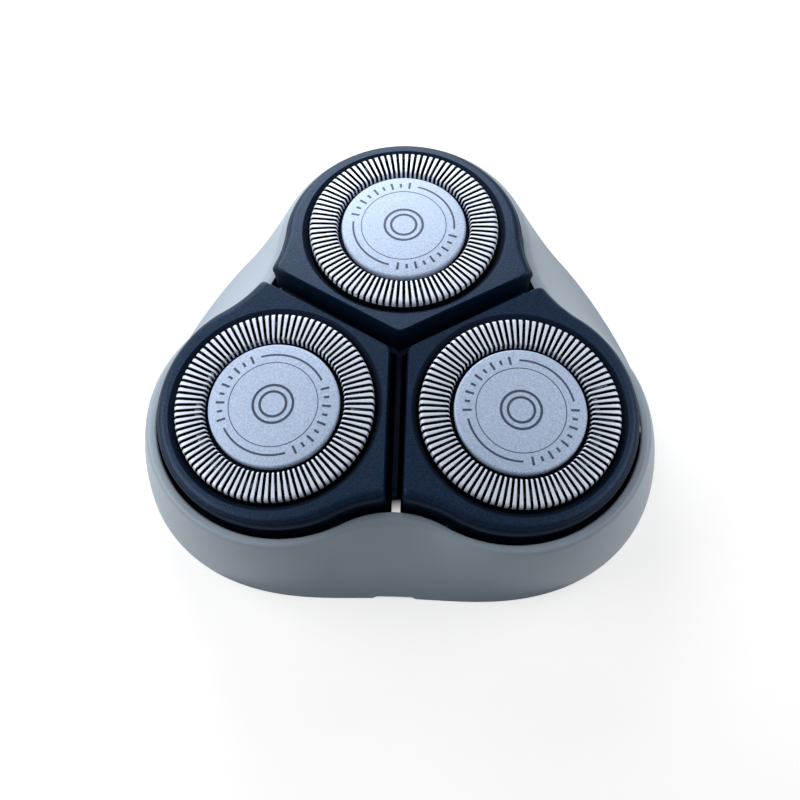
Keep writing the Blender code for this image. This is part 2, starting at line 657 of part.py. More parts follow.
def build_ring(side, head, material):
    """Bayonet ring: outer band with three notches, three arms and an eye round the hub."""
    name = "retaining_ring_" + side
    band = [(RING_RADIUS, up(RING_TOP)), (RING_RADIUS, up(RING_BOTTOM)),
            (RING_RADIUS - RING_BAND, up(RING_BOTTOM)), (RING_RADIUS - RING_BAND, up(RING_TOP))]
    ring = add_part(name, turned_mesh(name, band, BORE_SIDES, closed=True), head, material)
    eye_radius = HUB_RADIUS + 2 * FIT_GAP
    eye = [(eye_radius + RING_EYE_WALL, up(RING_TOP)), (eye_radius + RING_EYE_WALL, up(RING_BOTTOM)),
           (eye_radius, up(RING_BOTTOM)), (eye_radius, up(RING_TOP))]
    eye_mesh = turned_mesh("ring_eye", eye, HUB_SIDES, closed=True)
    apply_boolean(ring, add_cutter("ring_eye_" + side, eye_mesh, head), "UNION")
    overlap = RING_EYE_WALL / 2
    arms = radial_boxes("ring_arms", HOOK_ANGLES, eye_radius + overlap,
                        RING_RADIUS - RING_BAND + overlap, up(RING_BOTTOM), up(RING_TOP), RING_ARM_WIDTH)
    apply_boolean(ring, add_cutter("ring_arms_" + side, arms, head), "UNION")
    grips = radial_boxes("ring_grips", HOOK_ANGLES, eye_radius + overlap,
                         RING_RADIUS - RING_BAND + overlap, up(RING_BOTTOM + RING_GRIP_HEIGHT),
                         up(RING_BOTTOM - FIT_GAP), RING_GRIP_WIDTH)
    apply_boolean(ring, add_cutter("ring_grips_" + side, grips, head), "UNION")
    notches = radial_boxes("ring_notches", [angle + RING_TURN for angle in HOOK_ANGLES],
                           RING_RADIUS - RING_NOTCH_DEPTH, RING_RADIUS + FIT_GAP,
                           up(RING_BOTTOM + FIT_GAP), up(RING_TOP - FIT_GAP), RING_NOTCH_WIDTH)
    apply_boolean(ring, add_cutter("ring_notches_" + side, notches, head), "DIFFERENCE")
    return ring


clear_scene()
PARTS = make_collection("rotary_shaving_unit")
CUTTERS = make_collection("cutters")

unit_axis = bpy.data.objects.new("unit_axis", None)
unit_axis.location = (0, axis_shift(), 0)
PARTS.objects.link(unit_axis)

heads = {}
for side_name, head_angle in HEAD_ANGLES.items():
    head_empty = bpy.data.objects.new("head_" + side_name, None)
    head_empty.parent = unit_axis
    head_empty.matrix_local = head_matrix(head_angle)
    PARTS.objects.link(head_empty)
    heads[side_name] = head_empty

pale_plastic = make_material("pale_moulded_plastic", (0.33, 0.41, 0.49), 0.42)
navy_plastic = make_material("navy_moulded_plastic", (0.02, 0.035, 0.065), 0.32)
dark_plastic = make_material("dark_moulded_plastic", (0.012, 0.016, 0.028), 0.45)
guard_steel = make_material("guard_steel", (0.72, 0.73, 0.78), 0.18, 1.0)
disc_silver = make_material("satin_silver", (0.52, 0.57, 0.72), 0.3, 0.8)
hub_plastic = make_material("hub_plastic", (0.6, 0.6, 0.58), 0.5)

build_shell(unit_axis, pale_plastic)
build_carrier(unit_axis, heads, dark_plastic)
for side_name, head_empty in heads.items():
    build_petal(side_name, head_empty, navy_plastic)
    build_guard(side_name, head_empty, guard_steel)
    build_disc(side_name, head_empty, disc_silver)
    build_cutter(side_name, head_empty, guard_steel)
    build_hub(side_name, head_empty, hub_plastic)
    build_ring(side_name, head_empty, dark_plastic)
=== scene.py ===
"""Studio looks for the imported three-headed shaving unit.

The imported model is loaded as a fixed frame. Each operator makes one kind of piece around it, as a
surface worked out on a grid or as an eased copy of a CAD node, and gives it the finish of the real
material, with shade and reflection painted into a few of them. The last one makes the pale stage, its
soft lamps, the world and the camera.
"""
import json
import math

import bmesh
import bpy
import numpy as np
from mathutils import Matrix, Vector


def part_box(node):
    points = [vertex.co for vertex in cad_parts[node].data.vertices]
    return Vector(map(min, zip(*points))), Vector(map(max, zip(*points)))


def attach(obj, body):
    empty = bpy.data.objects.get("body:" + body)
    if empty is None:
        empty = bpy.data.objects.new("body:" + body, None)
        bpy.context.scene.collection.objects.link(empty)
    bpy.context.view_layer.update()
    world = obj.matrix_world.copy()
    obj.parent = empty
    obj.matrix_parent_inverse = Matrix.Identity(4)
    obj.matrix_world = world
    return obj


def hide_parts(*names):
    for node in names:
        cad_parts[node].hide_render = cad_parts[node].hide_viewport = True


bl_info = {
    "name": "Three-headed shaving unit",
    "version": (1, 0, 0),
    "blender": (4, 5, 0),
    "location": "View3D > Sidebar > Shaving unit",
    "description": "Fine surfaces, finishes and a stage for the packed shaving unit",
    "category": "Object",
}

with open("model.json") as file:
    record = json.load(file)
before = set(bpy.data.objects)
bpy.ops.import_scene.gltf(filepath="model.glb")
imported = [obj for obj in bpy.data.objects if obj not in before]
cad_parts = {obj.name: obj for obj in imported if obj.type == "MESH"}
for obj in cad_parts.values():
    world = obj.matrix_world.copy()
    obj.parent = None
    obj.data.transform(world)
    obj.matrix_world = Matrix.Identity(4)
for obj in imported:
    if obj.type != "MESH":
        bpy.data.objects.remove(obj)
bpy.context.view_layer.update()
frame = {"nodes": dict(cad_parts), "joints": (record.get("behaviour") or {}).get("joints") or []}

MM = 0.001
THIRD = 2 * math.pi / 3
SIDES = ("rear", "left", "right")
JOINTS = {joint["name"]: joint for joint in frame["joints"]}
GRAINED, POLISHED, BORE_SHADE = range(3)

# What counts as one point, as a sharp edge and as flat.
MERGE_DISTANCE = 0.0002 * MM
SHARP_ANGLE = math.radians(32)
FLAT_ANGLE = math.radians(0.4)

# Eased edges, and how far a block reaches into the wall that it stands on.
MOULDED_BEVEL = 0.08 * MM
BLADE_BEVEL = 0.03 * MM
BLOCK_EASE = 0.05 * MM
PIN_EASE = 0.1 * MM
BLOCK_CORNER = 0.12 * MM
OVERLAP = 0.3 * MM

# How finely each surface is divided: columns once round, rows along its section.
HOUSING_COLUMNS = 480
FRAME_COLUMNS = 360
DISC_COLUMNS = 144
HUB_COLUMNS = 96
PIN_COLUMNS = 32
ROUND_ROWS = 7
WALL_ROWS = 34
SLOPE_COLUMNS = 9
OUT_ROWS = 8
ROLL_ROWS = 10
DOME_ROWS = 16
EDGE_ROWS = 7
CROWN_POINTS = 9
TAB_POINTS = 25
BOX_CORNER_POINTS = 4
CORNER_STEPS = 5
STROKE_STEP = math.radians(2)

# A frame's outline: where each ray is searched, how often it is halved, the least slope at
# which a ray still meets a side, the power of the waists' fill, and the rows across the top.
SEARCH_REACH = (4 * MM, 24 * MM)
HALVINGS = 40
LEAST_SLOPE = 0.05
WAIST_POWER = 8
TOP_SHARES = (0.04, 0.5, 0.97, 1.0)

# Shares: how far a bar has fallen across its width, how much of each corner's round the inner
# skin keeps, the centre ring's smaller twin, and a short tick.
BAR_FALL = (1.0, 0.2, 0.0, 0.2, 1.0)
INNER_EASE = 0.15
INNER_RING = 0.66
SHORT_TICK = 0.6

# The part of a noise that is used, and the tints of the navy plastics' sheen.
NOISE_LOW, NOISE_HIGH = 0.3, 0.7
NAVY_SHEEN = (0.47, 0.66, 1.0, 1.0)
POLISHED_SHEEN = (0.4, 0.62, 1.0, 1.0)


def head_place(side):
    """Matrix of a head's own frame: X along its hinge, Y outwards, Z up its guard's axis."""
    across = np.array(JOINTS["tilt_" + side]["axis"])
    upwards = np.array(JOINTS["spin_" + side]["axis"])
    place = np.eye(4)
    place[:3, :3] = np.column_stack([across, np.cross(upwards, across), upwards])
    place[:3, 3] = JOINTS["tilt_" + side]["pos_m"]
    return place


def node_points(node, place):
    """Corner points of a CAD node, seen from a head's frame."""
    mesh = frame["nodes"][node].data
    points = np.empty(len(mesh.vertices) * 3)
    mesh.vertices.foreach_get("co", points)
    return (points.reshape(-1, 3) - place[:3, 3]) @ place[:3, :3]


HEADS = {side: head_place(side) for side in SIDES}
GUARD_POINTS = node_points("guard_rear", HEADS["rear"])
FACE = float(GUARD_POINTS[:, 2].max())
UNIT_AXIS = np.mean([place[:3, 3] + place[:3, 2] * FACE for place in HEADS.values()], axis=0)
HEAD_OFFSET = float(np.hypot(*(HEADS["rear"][:3, 3] + HEADS["rear"][:3, 2] * FACE - UNIT_AXIS)[:2]))
RIM_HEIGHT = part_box("housing_shell")[1].z
PLATE_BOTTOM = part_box("head_carrier")[0].z


def linear(code):
    """Linear colour of an sRGB hex code."""
    channels = [int(code[index:index + 2], 16) / 255 for index in (1, 3, 5)]
    return tuple(c / 12.92 if c <= 0.04045 else ((c + 0.055) / 1.055) ** 2.4 for c in channels)


def length(name, description, millimetres):
    """Property for a size, given in millimetres and kept in metres."""
    return bpy.props.FloatProperty(name=name, description=description, default=millimetres * MM,
                                   precision=5, unit="LENGTH")


def angle(name, description, degrees):
    """Property for an angle, given in degrees and kept in radians."""
    return bpy.props.FloatProperty(name=name, description=description,
                                   default=math.radians(degrees), subtype="ANGLE")


def number(name, description, value):
    """Property for a plain number."""
    return bpy.props.FloatProperty(name=name, description=description, default=value)


def colour(name, description, code):
    """Property for a colour, given as an sRGB hex code."""
    return bpy.props.FloatVectorProperty(name=name, description=description, size=3,
                                         default=linear(code), subtype="COLOR")


class HousingLook(bpy.types.PropertyGroup):
    """Sizes and colours of the housing and its carrier."""

    lobe_reach: length("Lobe reach", "From the axis to the base edge under a head", 30.826)
    side_reach: length("Side waist", "From the axis to the base edge between rear and front", 27.15)
    front_reach: length("Front waist", "From the axis to the base edge at the front", 24.26)
    squaring: length("Squaring", "Fourth wave of the base outline", -0.29)
    lobe_offset: length("Rim lobe offset", "From the axis to the centre of a rim lobe", 14.7)
    lobe_radius: length("Rim lobe radius", "Radius of the head frames' outline", 12.9)
    waist_radius: length("Rim waist radius", "Radius of the arc between two lobes", 14.0)
    rim_gap: length("Rim gap", "Gap between the head frames and the rim", 0.45)
    rim_width: length("Rim width", "Width of the rim's top, and of the wall below", 1.25)
    rim_round: length("Rim round", "Radius of the rim's edges", 0.42)
    bulge: length("Wall bulge", "How far the wall swells between rim and base", 0.2)
    flare: number("Flare", "Power that the wall's flare follows down from the rim", 0.89)
    notch_width: length("Notch width", "Width of the finger notch", 5.3)
    notch_height: length("Notch height", "Height of the finger notch", 0.42)
    notch_slope: length("Notch slope", "Length of the notch's sloped ends", 0.75)
    bead_width: length("Bead width", "Width of a snap bead", 4.0)
    bead_height: length("Bead height", "Height of a snap bead", 0.8)
    bead_reach: length("Bead reach", "How far a snap bead stands in", 0.6)
    shell: colour("Housing", "Pale blue-grey of the housing", "#A2B2C1")
    carrier: colour("Carrier", "Dark plastic of the head carrier", "#0E1E33")


class FrameLook(bpy.types.PropertyGroup):
    """Sizes and colours of the head frames."""

    drop: length("Drop", "Top of a frame below the guard's face", 0.7)
    height: length("Height", "Height of a frame", 4.5)
    gap: length("Gap", "Gap between two frames", 2.05)
    flare: length("Flare", "How far the wall stands out beside the rim", 0.2)
    flare_depth: length("Flare depth", "Where the rolled edge ends below the top", 2.6)
    swell: length("Swell", "How far the rolled edge stands out", 0.42)
    swell_depth: length("Swell depth", "Where the rolled edge is widest below the top", 1.15)
    edge_inset: length("Edge inset", "How far inside the outline the flat top ends", 0.6)
    side_round: length("Side round", "Radius of the top edge beside the gaps", 0.12)
    waist_fill: length("Waist fill", "How far the top edge stands out at the waists", 0.2)
    corner_power: number("Corner sharpness", "Power that blends the outline's corners", 70.0)
    lip_radius: length("Lip radius", "Radius of the bore round the guard", 10.98)
    lip_thickness: length("Lip thickness", "Thickness of the lip over the guard's flange", 1.0)
    lip_chamfer: length("Lip chamfer", "Chamfer on the lip", 0.55)
    bore_radius: length("Seat radius", "Radius of the guard's seat", 11.65)
    tab_near: length("Tab near face", "From the middle to a hinge tab's inner face", 11.7)
    tab_far: length("Tab far face", "From the middle to a hinge tab's outer face", 12.25)
    tab_radius: length("Tab radius", "Radius of a hinge tab's round end", 1.2)
    pin_near: length("Pin root", "From the middle to a hinge pin's root", 11.95)
    pin_far: length("Pin end", "From the middle to a hinge pin's end", 13.6)
    pin_radius: length("Pin radius", "Radius of a hinge pin", 0.6)
    hook_near: length("Hook reach", "From the guard's axis to a bayonet hook's nose", 10.65)
    hook_top: length("Hook top", "Depth of a hook's upper face below the guard's face", 4.55)
    hook_thickness: length("Hook thickness", "Thickness of a bayonet hook", 0.6)
    hook_width: length("Hook width", "Width of a bayonet hook", 3.4)
    key_near: length("Key reach", "From the guard's axis to a key's nose", 11.2)
    key_top: length("Key top", "Depth of a key's upper end below the guard's face", 1.4)
    key_height: length("Key height", "Height of a key", 1.35)
    key_width: length("Key width", "Width of a key", 1.4)
    top: colour("Top", "Grained navy of the top face", "#0E2138")
    flank: colour("Flank", "Polished navy of the walls", "#0D1D31")


class GuardLook(bpy.types.PropertyGroup):
    """Sizes and colours of the slotted guards."""

    radius: length("Radius", "Radius of the slotted crown", 10.7)
    inner: length("Inner radius", "Inner radius of the crown", 7.6)
    floor_radius: length("Floor radius", "Radius of the sunk floor", 7.4)
    floor_depth: length("Floor depth", "Depth of the sunk floor", 1.3)
    hole: length("Hole", "Radius of the hole for the disc's stud", 1.55)
    wall: length("Wall", "Thickness of the steel", 0.35)
    flange: length("Flange depth", "Depth of the flange below the face", 2.4)
    inner_round: length("Inner round", "Radius of the crown's inner edge", 0.3)
    outer_round: length("Outer round", "Radius of the crown's outer edge", 0.4)
    crown: length("Crown", "How far the crown falls towards its edges", 0.05)
    slots: bpy.props.IntProperty(name="Slots", description="Number of slots", default=90)
    slot_width: length("Slot width", "Width of a slot", 0.32)
    slot_inside: length("Inner slot end", "How deep a slot runs down the inner wall", 0.8)
    slot_outside: length("Outer slot end", "How deep a slot runs down the outer wall", 0.75)
    bar_round: length("Bar round", "How far a bar's edges fall", 0.05)
    bar_edge: length("Bar edge", "Width of a bar's rounded edge", 0.04)
    # Partly the steel's own tone, partly painted reflection: a near-white, mostly non-metallic colour
    # that stands in for the bright reflection of the surroundings.
    steel: colour("Steel", "Bright stainless steel", "#E2EDFF")
    # Painted shade: the near-black colour of the steel in the guards' hollows and slots, where shadow
    # falls.
    inside: colour("Inside", "Unpolished steel inside and round the disc", "#161C28")


class DiscLook(bpy.types.PropertyGroup):
    """Sizes and colours of the silver discs and what is printed on them."""

    radius: length("Radius", "Radius of a disc", 7.05)
    edge: length("Edge", "Width of the rounded edge", 0.25)
    dome: length("Dome", "Rise of a disc's middle", 0.05)
    thickness: length("Thickness", "Thickness of a disc", 1.0)
    stud_radius: length("Stud radius", "Radius of the stud", 1.25)
    stud_length: length("Stud length", "Length of the stud", 1.4)
    circle: length("Circle", "Radius of the thin printed circle", 4.8)
    circle_line: length("Circle line", "Width of the thin circle's line", 0.09)
    arcs: length("Arcs", "Radius of the two heavier arcs", 5.72)
    arc_line: length("Arc line", "Width of the arcs' line", 0.22)
    arc_sweep: angle("Arc sweep", "Angle that each arc covers", 79.0)
    rear_start: angle("Rear start", "Where the rear disc's first arc starts", -4.0)
    left_start: angle("Left start", "Where the left disc's first arc starts", -92.0)
    right_start: angle("Right start", "Where the right disc's first arc starts", 133.0)
    tick_length: length("Tick length", "Length of the plain ticks", 0.95)
    tick_line: length("Tick line", "Width of the plain ticks", 0.26)
    ticks: bpy.props.IntProperty(name="Ticks", description="Ticks between the arcs", default=9)
    centre_ring: length("Centre ring", "Radius of the plain ring in the middle", 2.15)
    centre_line: length("Centre ring line", "Width of the centre ring's line", 0.28)
    ink_height: length("Ink height", "Height of the print above the disc", 0.012)
    silver: colour("Silver", "Satin silver with a cool tint", "#B3C5E1")
    ink: colour("Ink", "Dark blue-grey print", "#3C4760")


class WorksLook(bpy.types.PropertyGroup):
    """Sizes and colours of the cutters, drive hubs and bayonet rings."""

    hub_radius: length("Hub radius", "Radius of the drive hub", 3.4)
    spigot_radius: length("Spigot radius", "Radius of the hub's spigot in the cutter", 2.3)
    spigot_rise: length("Spigot rise", "Height of the spigot above the shoulder", 1.0)
    recess: length("Recess", "Radius of the recess round the stud", 1.55)
    hub_chamfer: length("Hub edge", "Radius of the hub's lower edge", 0.3)
    socket_radius: length("Socket radius", "Mean radius of the three-lobed socket", 1.6)
    socket_lobe: length("Socket lobe", "How far the socket's lobes stand out", 0.35)
    socket_depth: length("Socket depth", "Depth of the socket", 2.5)
    cutter: colour("Cutter", "Ground steel of the cutters", "#858991")
    hub: colour("Hub", "Natural acetal of the drive hubs", "#D9D8D0")
    # Painted shade: the rings' dark colour stands in for the shadow below the cutters.
    ring: colour("Ring", "Dark plastic of the bayonet rings", "#1E2430")


class StageLook(bpy.types.PropertyGroup):
    """Camera, lamps and floor of the studio."""

    azimuth: angle("Azimuth", "Camera's way round the unit from the front", 3.78)
    elevation: angle("Elevation", "Camera's height over the horizon", 62.43)
    distance: length("Distance", "From the camera to the middle of the guards' faces", 128.5)
    pan: angle("Pan", "Camera's turn away from the middle, sideways", 0.06)
    tilt: angle("Tilt", "Camera's turn away from the middle, upwards", 2.73)
    roll: angle("Roll", "Camera's turn about its own line of sight", -2.07)
    lens: number("Lens", "Focal length on a 36 mm sensor", 53.55)
    lamp_distance: length("Lamp distance", "From the unit to each lamp", 100.0)
    lamp_width: length("Lamp width", "Width of each lamp", 90.0)
    lamp_depth: length("Lamp depth", "Height of each lamp", 60.0)
    rear_turn: angle("Rear turn", "Way round to the rear lamp, from the right leftwards", 104.0)
    rear_height: angle("Rear height", "Rear lamp's height over the horizon", 27.0)
    rear_power: number("Rear power", "Watts of the rear lamp", 0.09)
    left_turn: angle("Left turn", "Way round to the left lamp", 186.0)
    left_height: angle("Left height", "Left lamp's height over the horizon", 36.0)
    left_power: number("Left power", "Watts of the left lamp", 0.062)
    right_turn: angle("Right turn", "Way round to the right lamp", 2.0)
    right_height: angle("Right height", "Right lamp's height over the horizon", 36.0)
    right_power: number("Right power", "Watts of the right lamp", 0.039)
    world: number("World", "Strength of the light from all round", 0.1)
    shade_reach: length("Shade reach", "Floor this near the axis gives no glints", 32.0)
    cover_reach: length("Cover reach", "Radius of the floor that the unit covers", 23.0)
    cover_round: length("Cover round", "Radius of the covered floor round a front head", 15.0)
    # Painted light: a glowing spot on the floor in the front gap, drawn as emission that fades out
    # from its middle.
    painted_glow_offset: length("Gap light", "How far in front of the middle light falls in", 17.4)
    painted_glow_reach: length("Gap reach", "How far that light spreads", 2.0)
    floor: colour("Floor", "Pale floor", "#C8C8C8")
    floor_glow: number("Floor glow", "How brightly the floor itself shines where it is white", 0.62)


def grid_faces(rows, columns, closed):
    """Quads of a grid whose points are numbered row by row and whose rows run round; in a
    closed one the last row meets the first."""
    row, column = np.meshgrid(np.arange(rows if closed else rows - 1), np.arange(columns),
                              indexing="ij")
    next_row = (row + 1) % rows
    next_column = (column + 1) % columns
    corners = [row * columns + column, row * columns + next_column,
               next_row * columns + next_column, next_row * columns + column]
    return np.stack(corners, axis=-1).reshape(-1, 4)


def grid_part(points, closed):
    """A grid of points as a part: its points one after another, and its faces."""
    rows, columns = points.shape[:2]
    return points.reshape(-1, 3), grid_faces(rows, columns, closed).tolist()


def even_turns(count):
    """Angles at equal steps, once round."""
    return np.arange(count) * 2 * np.pi / count


def arc_points(radius, turn):
    """Flat points of a circle at the given angles."""
    return np.stack([np.cos(turn), np.sin(turn)], axis=-1) * radius


def polar_points(radius, turn, height):
    """Points from a radius and a height for each row and column, turned about Z."""
    radius, turn, height = np.broadcast_arrays(radius, turn, height)
    return np.stack([radius * np.cos(turn), radius * np.sin(turn), height], axis=-1)


def rounded_path(corners, steps):
    """Path through (r, z, round) corners: each corner is cut by an arc tangent to both its
    sides, read off by turning evenly from one tangent point to the other."""
    spots = np.array([corner[:2] for corner in corners])
    share = np.linspace(0, 1, steps + 1)[:, None]
    path = [spots[:1]]
    for index in range(1, len(corners) - 1):
        spot = spots[index]
        bend = corners[index][2]
        if bend == 0:
            path.append(spot[None])
            continue
        back, ahead = [(other - spot) / np.linalg.norm(other - spot)
                       for other in (spots[index - 1], spots[index + 1])]
        half = np.arccos(np.clip(back @ ahead, -1, 1)) / 2
        middle = (back + ahead) / np.linalg.norm(back + ahead)
        centre = spot + middle * bend / np.sin(half)
        first, last = [spot + side * bend / np.tan(half) - centre for side in (back, ahead)]
        sweep = np.pi - 2 * half
        path.append(centre + (np.sin((1 - share) * sweep) * first + np.sin(share * sweep) * last)
                    / np.sin(sweep))
    path.append(spots[-1:])
    return np.concatenate(path)


def prism(outline, low, high, edge):
    """Upright block over a flat outline, whose end edges are eased by scaling the outline."""
    shrunk = 1 - edge / np.abs(outline).max()
    heights = np.array([low, low + edge, high - edge, high])
    scales = np.array([shrunk, 1, 1, shrunk])
    centre = outline.mean(axis=0)
    flat = centre + (outline - centre)[None] * scales[:, None, None]
    level = np.broadcast_to(heights[:, None, None], flat[..., :1].shape)
    points, faces = grid_part(np.concatenate([flat, level], axis=-1), closed=False)
    count = len(outline)
    return points, faces + [list(range(count)), list(range(3 * count, 4 * count))]


def box_outline(width, depth, corner):
    """Outline of a rectangle with round corners, centred on the origin."""
    turn = np.linspace(0, np.pi / 2, BOX_CORNER_POINTS)
    quarters = []
    for index, (x, y) in enumerate(((1, 1), (-1, 1), (-1, -1), (1, -1))):
        middle = np.array([x * (width / 2 - corner), y * (depth / 2 - corner)])
        quarters.append(middle + arc_points(corner, turn + index * np.pi / 2))
    return np.concatenate(quarters)


def moved(part, matrix):
    """A part carried to another place by a matrix."""
    points, faces = part
    matrix = np.array(matrix)
    return points @ matrix[:3, :3].T + matrix[:3, 3], faces


def joined(parts):
    """Several parts as one set of points and faces."""
    points = []
    faces = []
    count = 0
    for part_points, part_faces in parts:
        points.append(part_points)
        faces += [[index + count for index in face] for face in part_faces]
        count += len(part_points)
    return np.concatenate(points), faces


def merge_doubles(mesh, flatten=False):
    """Merge a mesh's doubles, then make its flat faces whole or turn all its faces outwards."""
    bm = bmesh.new()
    bm.from_mesh(mesh)
    bmesh.ops.remove_doubles(bm, verts=bm.verts, dist=MERGE_DISTANCE)
    if flatten:
        bmesh.ops.dissolve_limit(bm, angle_limit=FLAT_ANGLE, verts=bm.verts, edges=bm.edges)
    else:
        bmesh.ops.recalc_face_normals(bm, faces=bm.faces)
    bm.to_mesh(mesh)
    bm.free()


def shaded(mesh):
    """A mesh shaded smooth but for its sharp edges."""
    mesh.shade_smooth()
    mesh.set_sharp_from_angle(angle=SHARP_ANGLE)
    return mesh


def make_mesh(name, part, materials, slots=None):
    """Mesh of a part, with doubles merged, faces turned outwards and smooth shading."""
    points, faces = part
    mesh = bpy.data.meshes.new(name)
    mesh.from_pydata(points.tolist(), [], faces)
    for material in materials:
        mesh.materials.append(material)
    if slots is not None:
        mesh.polygons.foreach_set("material_index", slots)
    merge_doubles(mesh)
    return shaded(mesh)


def new_object(name, data):
    """New object in the scene that holds a mesh, a lamp or a camera."""
    item = bpy.data.objects.new(name, data)
    bpy.context.scene.collection.objects.link(item)
    return item


def applied(item):
    """Mesh of an object with its modifiers applied; the object itself is taken away."""
    bpy.context.view_layer.update()
    graph = bpy.context.evaluated_depsgraph_get()
    mesh = bpy.data.meshes.new_from_object(item.evaluated_get(graph))
    bpy.data.objects.remove(item)
    return mesh


def united(base, extra):
    """Mesh of two meshes joined by an exact Boolean."""
    first = new_object("united", base)
    second = new_object("united_extra", extra)
    union = first.modifiers.new("union", "BOOLEAN")
    union.operation = "UNION"
    union.object = second
    mesh = applied(first)
    bpy.data.objects.remove(second)
    merge_doubles(mesh)
    return shaded(mesh)


def add_piece(name, mesh, body, nodes):
    """Put a finished mesh into the scene on its body, in place of its CAD nodes."""
    piece = new_object(name, mesh)
    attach(piece, body)
    if nodes:
        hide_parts(*nodes)


def add_to_heads(name, mesh, body, node):
    """Put a copy of a mesh, drawn in a head's frame, on each of the three heads."""
    for side, place in HEADS.items():
        copy = mesh.copy()
        copy.transform(Matrix(place.tolist()))
        add_piece(name + side, copy, body + side, [node + side])


def refined_copy(node, bevel, material):
    """Merged copy of a CAD node, its flat faces made whole, with its edges eased by a bevel."""
    mesh = frame["nodes"][node].data.copy()
    mesh.materials.clear()
    mesh.materials.append(material)
    merge_doubles(mesh, flatten=True)
    item = new_object(node + "_copy", mesh)
    ease = item.modifiers.new("eased edges", "BEVEL")
    ease.width = bevel
    ease.segments = 2
    ease.limit_method = "ANGLE"
    ease.angle_limit = SHARP_ANGLE
    return shaded(applied(item))


def from_lobe(turn):
    """Angle between a direction and the middle of the nearest lobe."""
    return np.abs((turn - np.pi / 2 + THIRD / 2) % THIRD - THIRD / 2)


def trefoil_radius(turn, sizes, grow):
    """Radius of the head frames' common outline: a lobe's circle near each head and the arc
    that touches both lobes between them, both grown outwards."""
    folded = from_lobe(turn)
    reach = sizes.lobe_radius + sizes.waist_radius
    waist = (sizes.lobe_offset + math.sqrt(4 * reach ** 2 - 3 * sizes.lobe_offset ** 2)) / 2
    share = (sizes.lobe_radius + grow) / reach
    side = math.sin(THIRD / 2) * waist
    along = math.cos(THIRD / 2) * waist
    touch = np.arctan2(side * share, sizes.lobe_offset + (along - sizes.lobe_offset) * share)
    lobe_root = (sizes.lobe_radius + grow) ** 2 - (sizes.lobe_offset * np.sin(folded)) ** 2
    lobe = sizes.lobe_offset * np.cos(folded) + np.sqrt(np.maximum(lobe_root, 0))
    apart = THIRD / 2 - folded
    waist_root = (sizes.waist_radius - grow) ** 2 - (waist * np.sin(apart)) ** 2
    arc = waist * np.cos(apart) - np.sqrt(np.maximum(waist_root, 0))
    return np.where(folded <= touch, lobe, arc)


def base_radius(turn, sizes):
    """Radius of the housing's base: a cosine series through the reach of the lobes, the side
    waists and the front waist, with a small fourth wave that squares it."""
    phase = turn - np.pi / 2
    pull = (sizes.side_reach - sizes.front_reach) / 3
    middle = (sizes.lobe_reach + sizes.front_reach) / 2 + pull
    lobes = (sizes.lobe_reach - sizes.front_reach) / 2 - pull
    return (middle + pull * (np.cos(phase) - np.cos(2 * phase)) + lobes * np.cos(3 * phase)
            + sizes.squaring * np.cos(4 * phase))


def wall_radius(turn, level, sizes):
    """Radius of the outer wall at a level from 0 at the rim to 1 at the base."""
    rim = trefoil_radius(turn, sizes, sizes.rim_gap + sizes.rim_width)
    flare = (base_radius(turn, sizes) - rim) * level ** sizes.flare
    return rim + flare + sizes.bulge * 4 * level * (1 - level)


def set_inputs(tree, node, values):
    """Give each named input of a node a value or a link."""
    for name, value in values.items():
        if isinstance(value, bpy.types.NodeSocket):
            tree.links.new(value, node.inputs[name])
        else:
            node.inputs[name].default_value = value


def add_node(tree, kind, inputs=None, **settings):
    """Add a node, set its own settings, and give its named inputs their values or links."""
    node = tree.nodes.new(kind)
    for name, value in settings.items():
        setattr(node, name, value)
    set_inputs(tree, node, inputs or {})
    return node


def finish(name, base, roughness, play, grain, depth=0.0, spread=0.0, spot=None, detail=2.0,
           stretch=None, **inputs):
    """Material of a real surface. A noise as wide as the grain moves the roughness by its play
    each way and makes a bump of the given depth; the same noise, or one as wide as the spots,
    makes the colour darker and lighter by its spread. An underscore in an input's name stands
    for a space."""
    material = bpy.data.materials.new(name)
    material.use_nodes = True
    tree = material.node_tree
    shader = tree.nodes["Principled BSDF"]
    place = add_node(tree, "ShaderNodeTexCoord").outputs["Object"]
    if stretch:
        place = add_node(tree, "ShaderNodeMapping", {"Vector": place, "Scale": stretch}).outputs[0]
    noises = [add_node(tree, "ShaderNodeTexNoise", {"Vector": place, "Scale": 1 / size,
                                                    "Detail": detail}).outputs["Fac"]
              for size in (grain, spot) if size]
    values = {"Base Color": (*base, 1.0), "Roughness": roughness}
    if spread:
        ramp = add_node(tree, "ShaderNodeValToRGB", {"Fac": noises[-1]})
        stops = zip(ramp.color_ramp.elements, (NOISE_LOW, NOISE_HIGH), (1 - spread, 1 + spread))
        for stop, level, gain in stops:
            stop.position = level
            stop.color = (*[channel * gain for channel in base], 1.0)
        values["Base Color"] = ramp.outputs["Color"]
    if play:
        span = {"Value": noises[0], "From Min": NOISE_LOW, "From Max": NOISE_HIGH,
                "To Min": roughness - play, "To Max": roughness + play}
        values["Roughness"] = add_node(tree, "ShaderNodeMapRange", span).outputs["Result"]
    if depth:
        bump = {"Height": noises[0], "Strength": 1.0, "Distance": depth}
        values["Normal"] = add_node(tree, "ShaderNodeBump", bump).outputs["Normal"]
    values.update({key.replace("_", " "): value for key, value in inputs.items()})
    set_inputs(tree, shader, values)
    return material


def moulded_plastic(name, base, roughness, grain, depth, spread=0.03, spot=6 * MM, **inputs):
    """Injection-moulded plastic: faint mottling in spots, a fine mould grain and a soft gloss."""
    return finish(name, base, roughness, 0.03, grain, depth, spread, spot, IOR=1.53, **inputs)


def pale_abs(base):
    """Pale ABS from a fine-eroded mould: an even satin that takes soft light broadly."""
    return moulded_plastic("pale_satin_abs", base, 0.42, 0.16 * MM, 0.0022 * MM, 0.02)


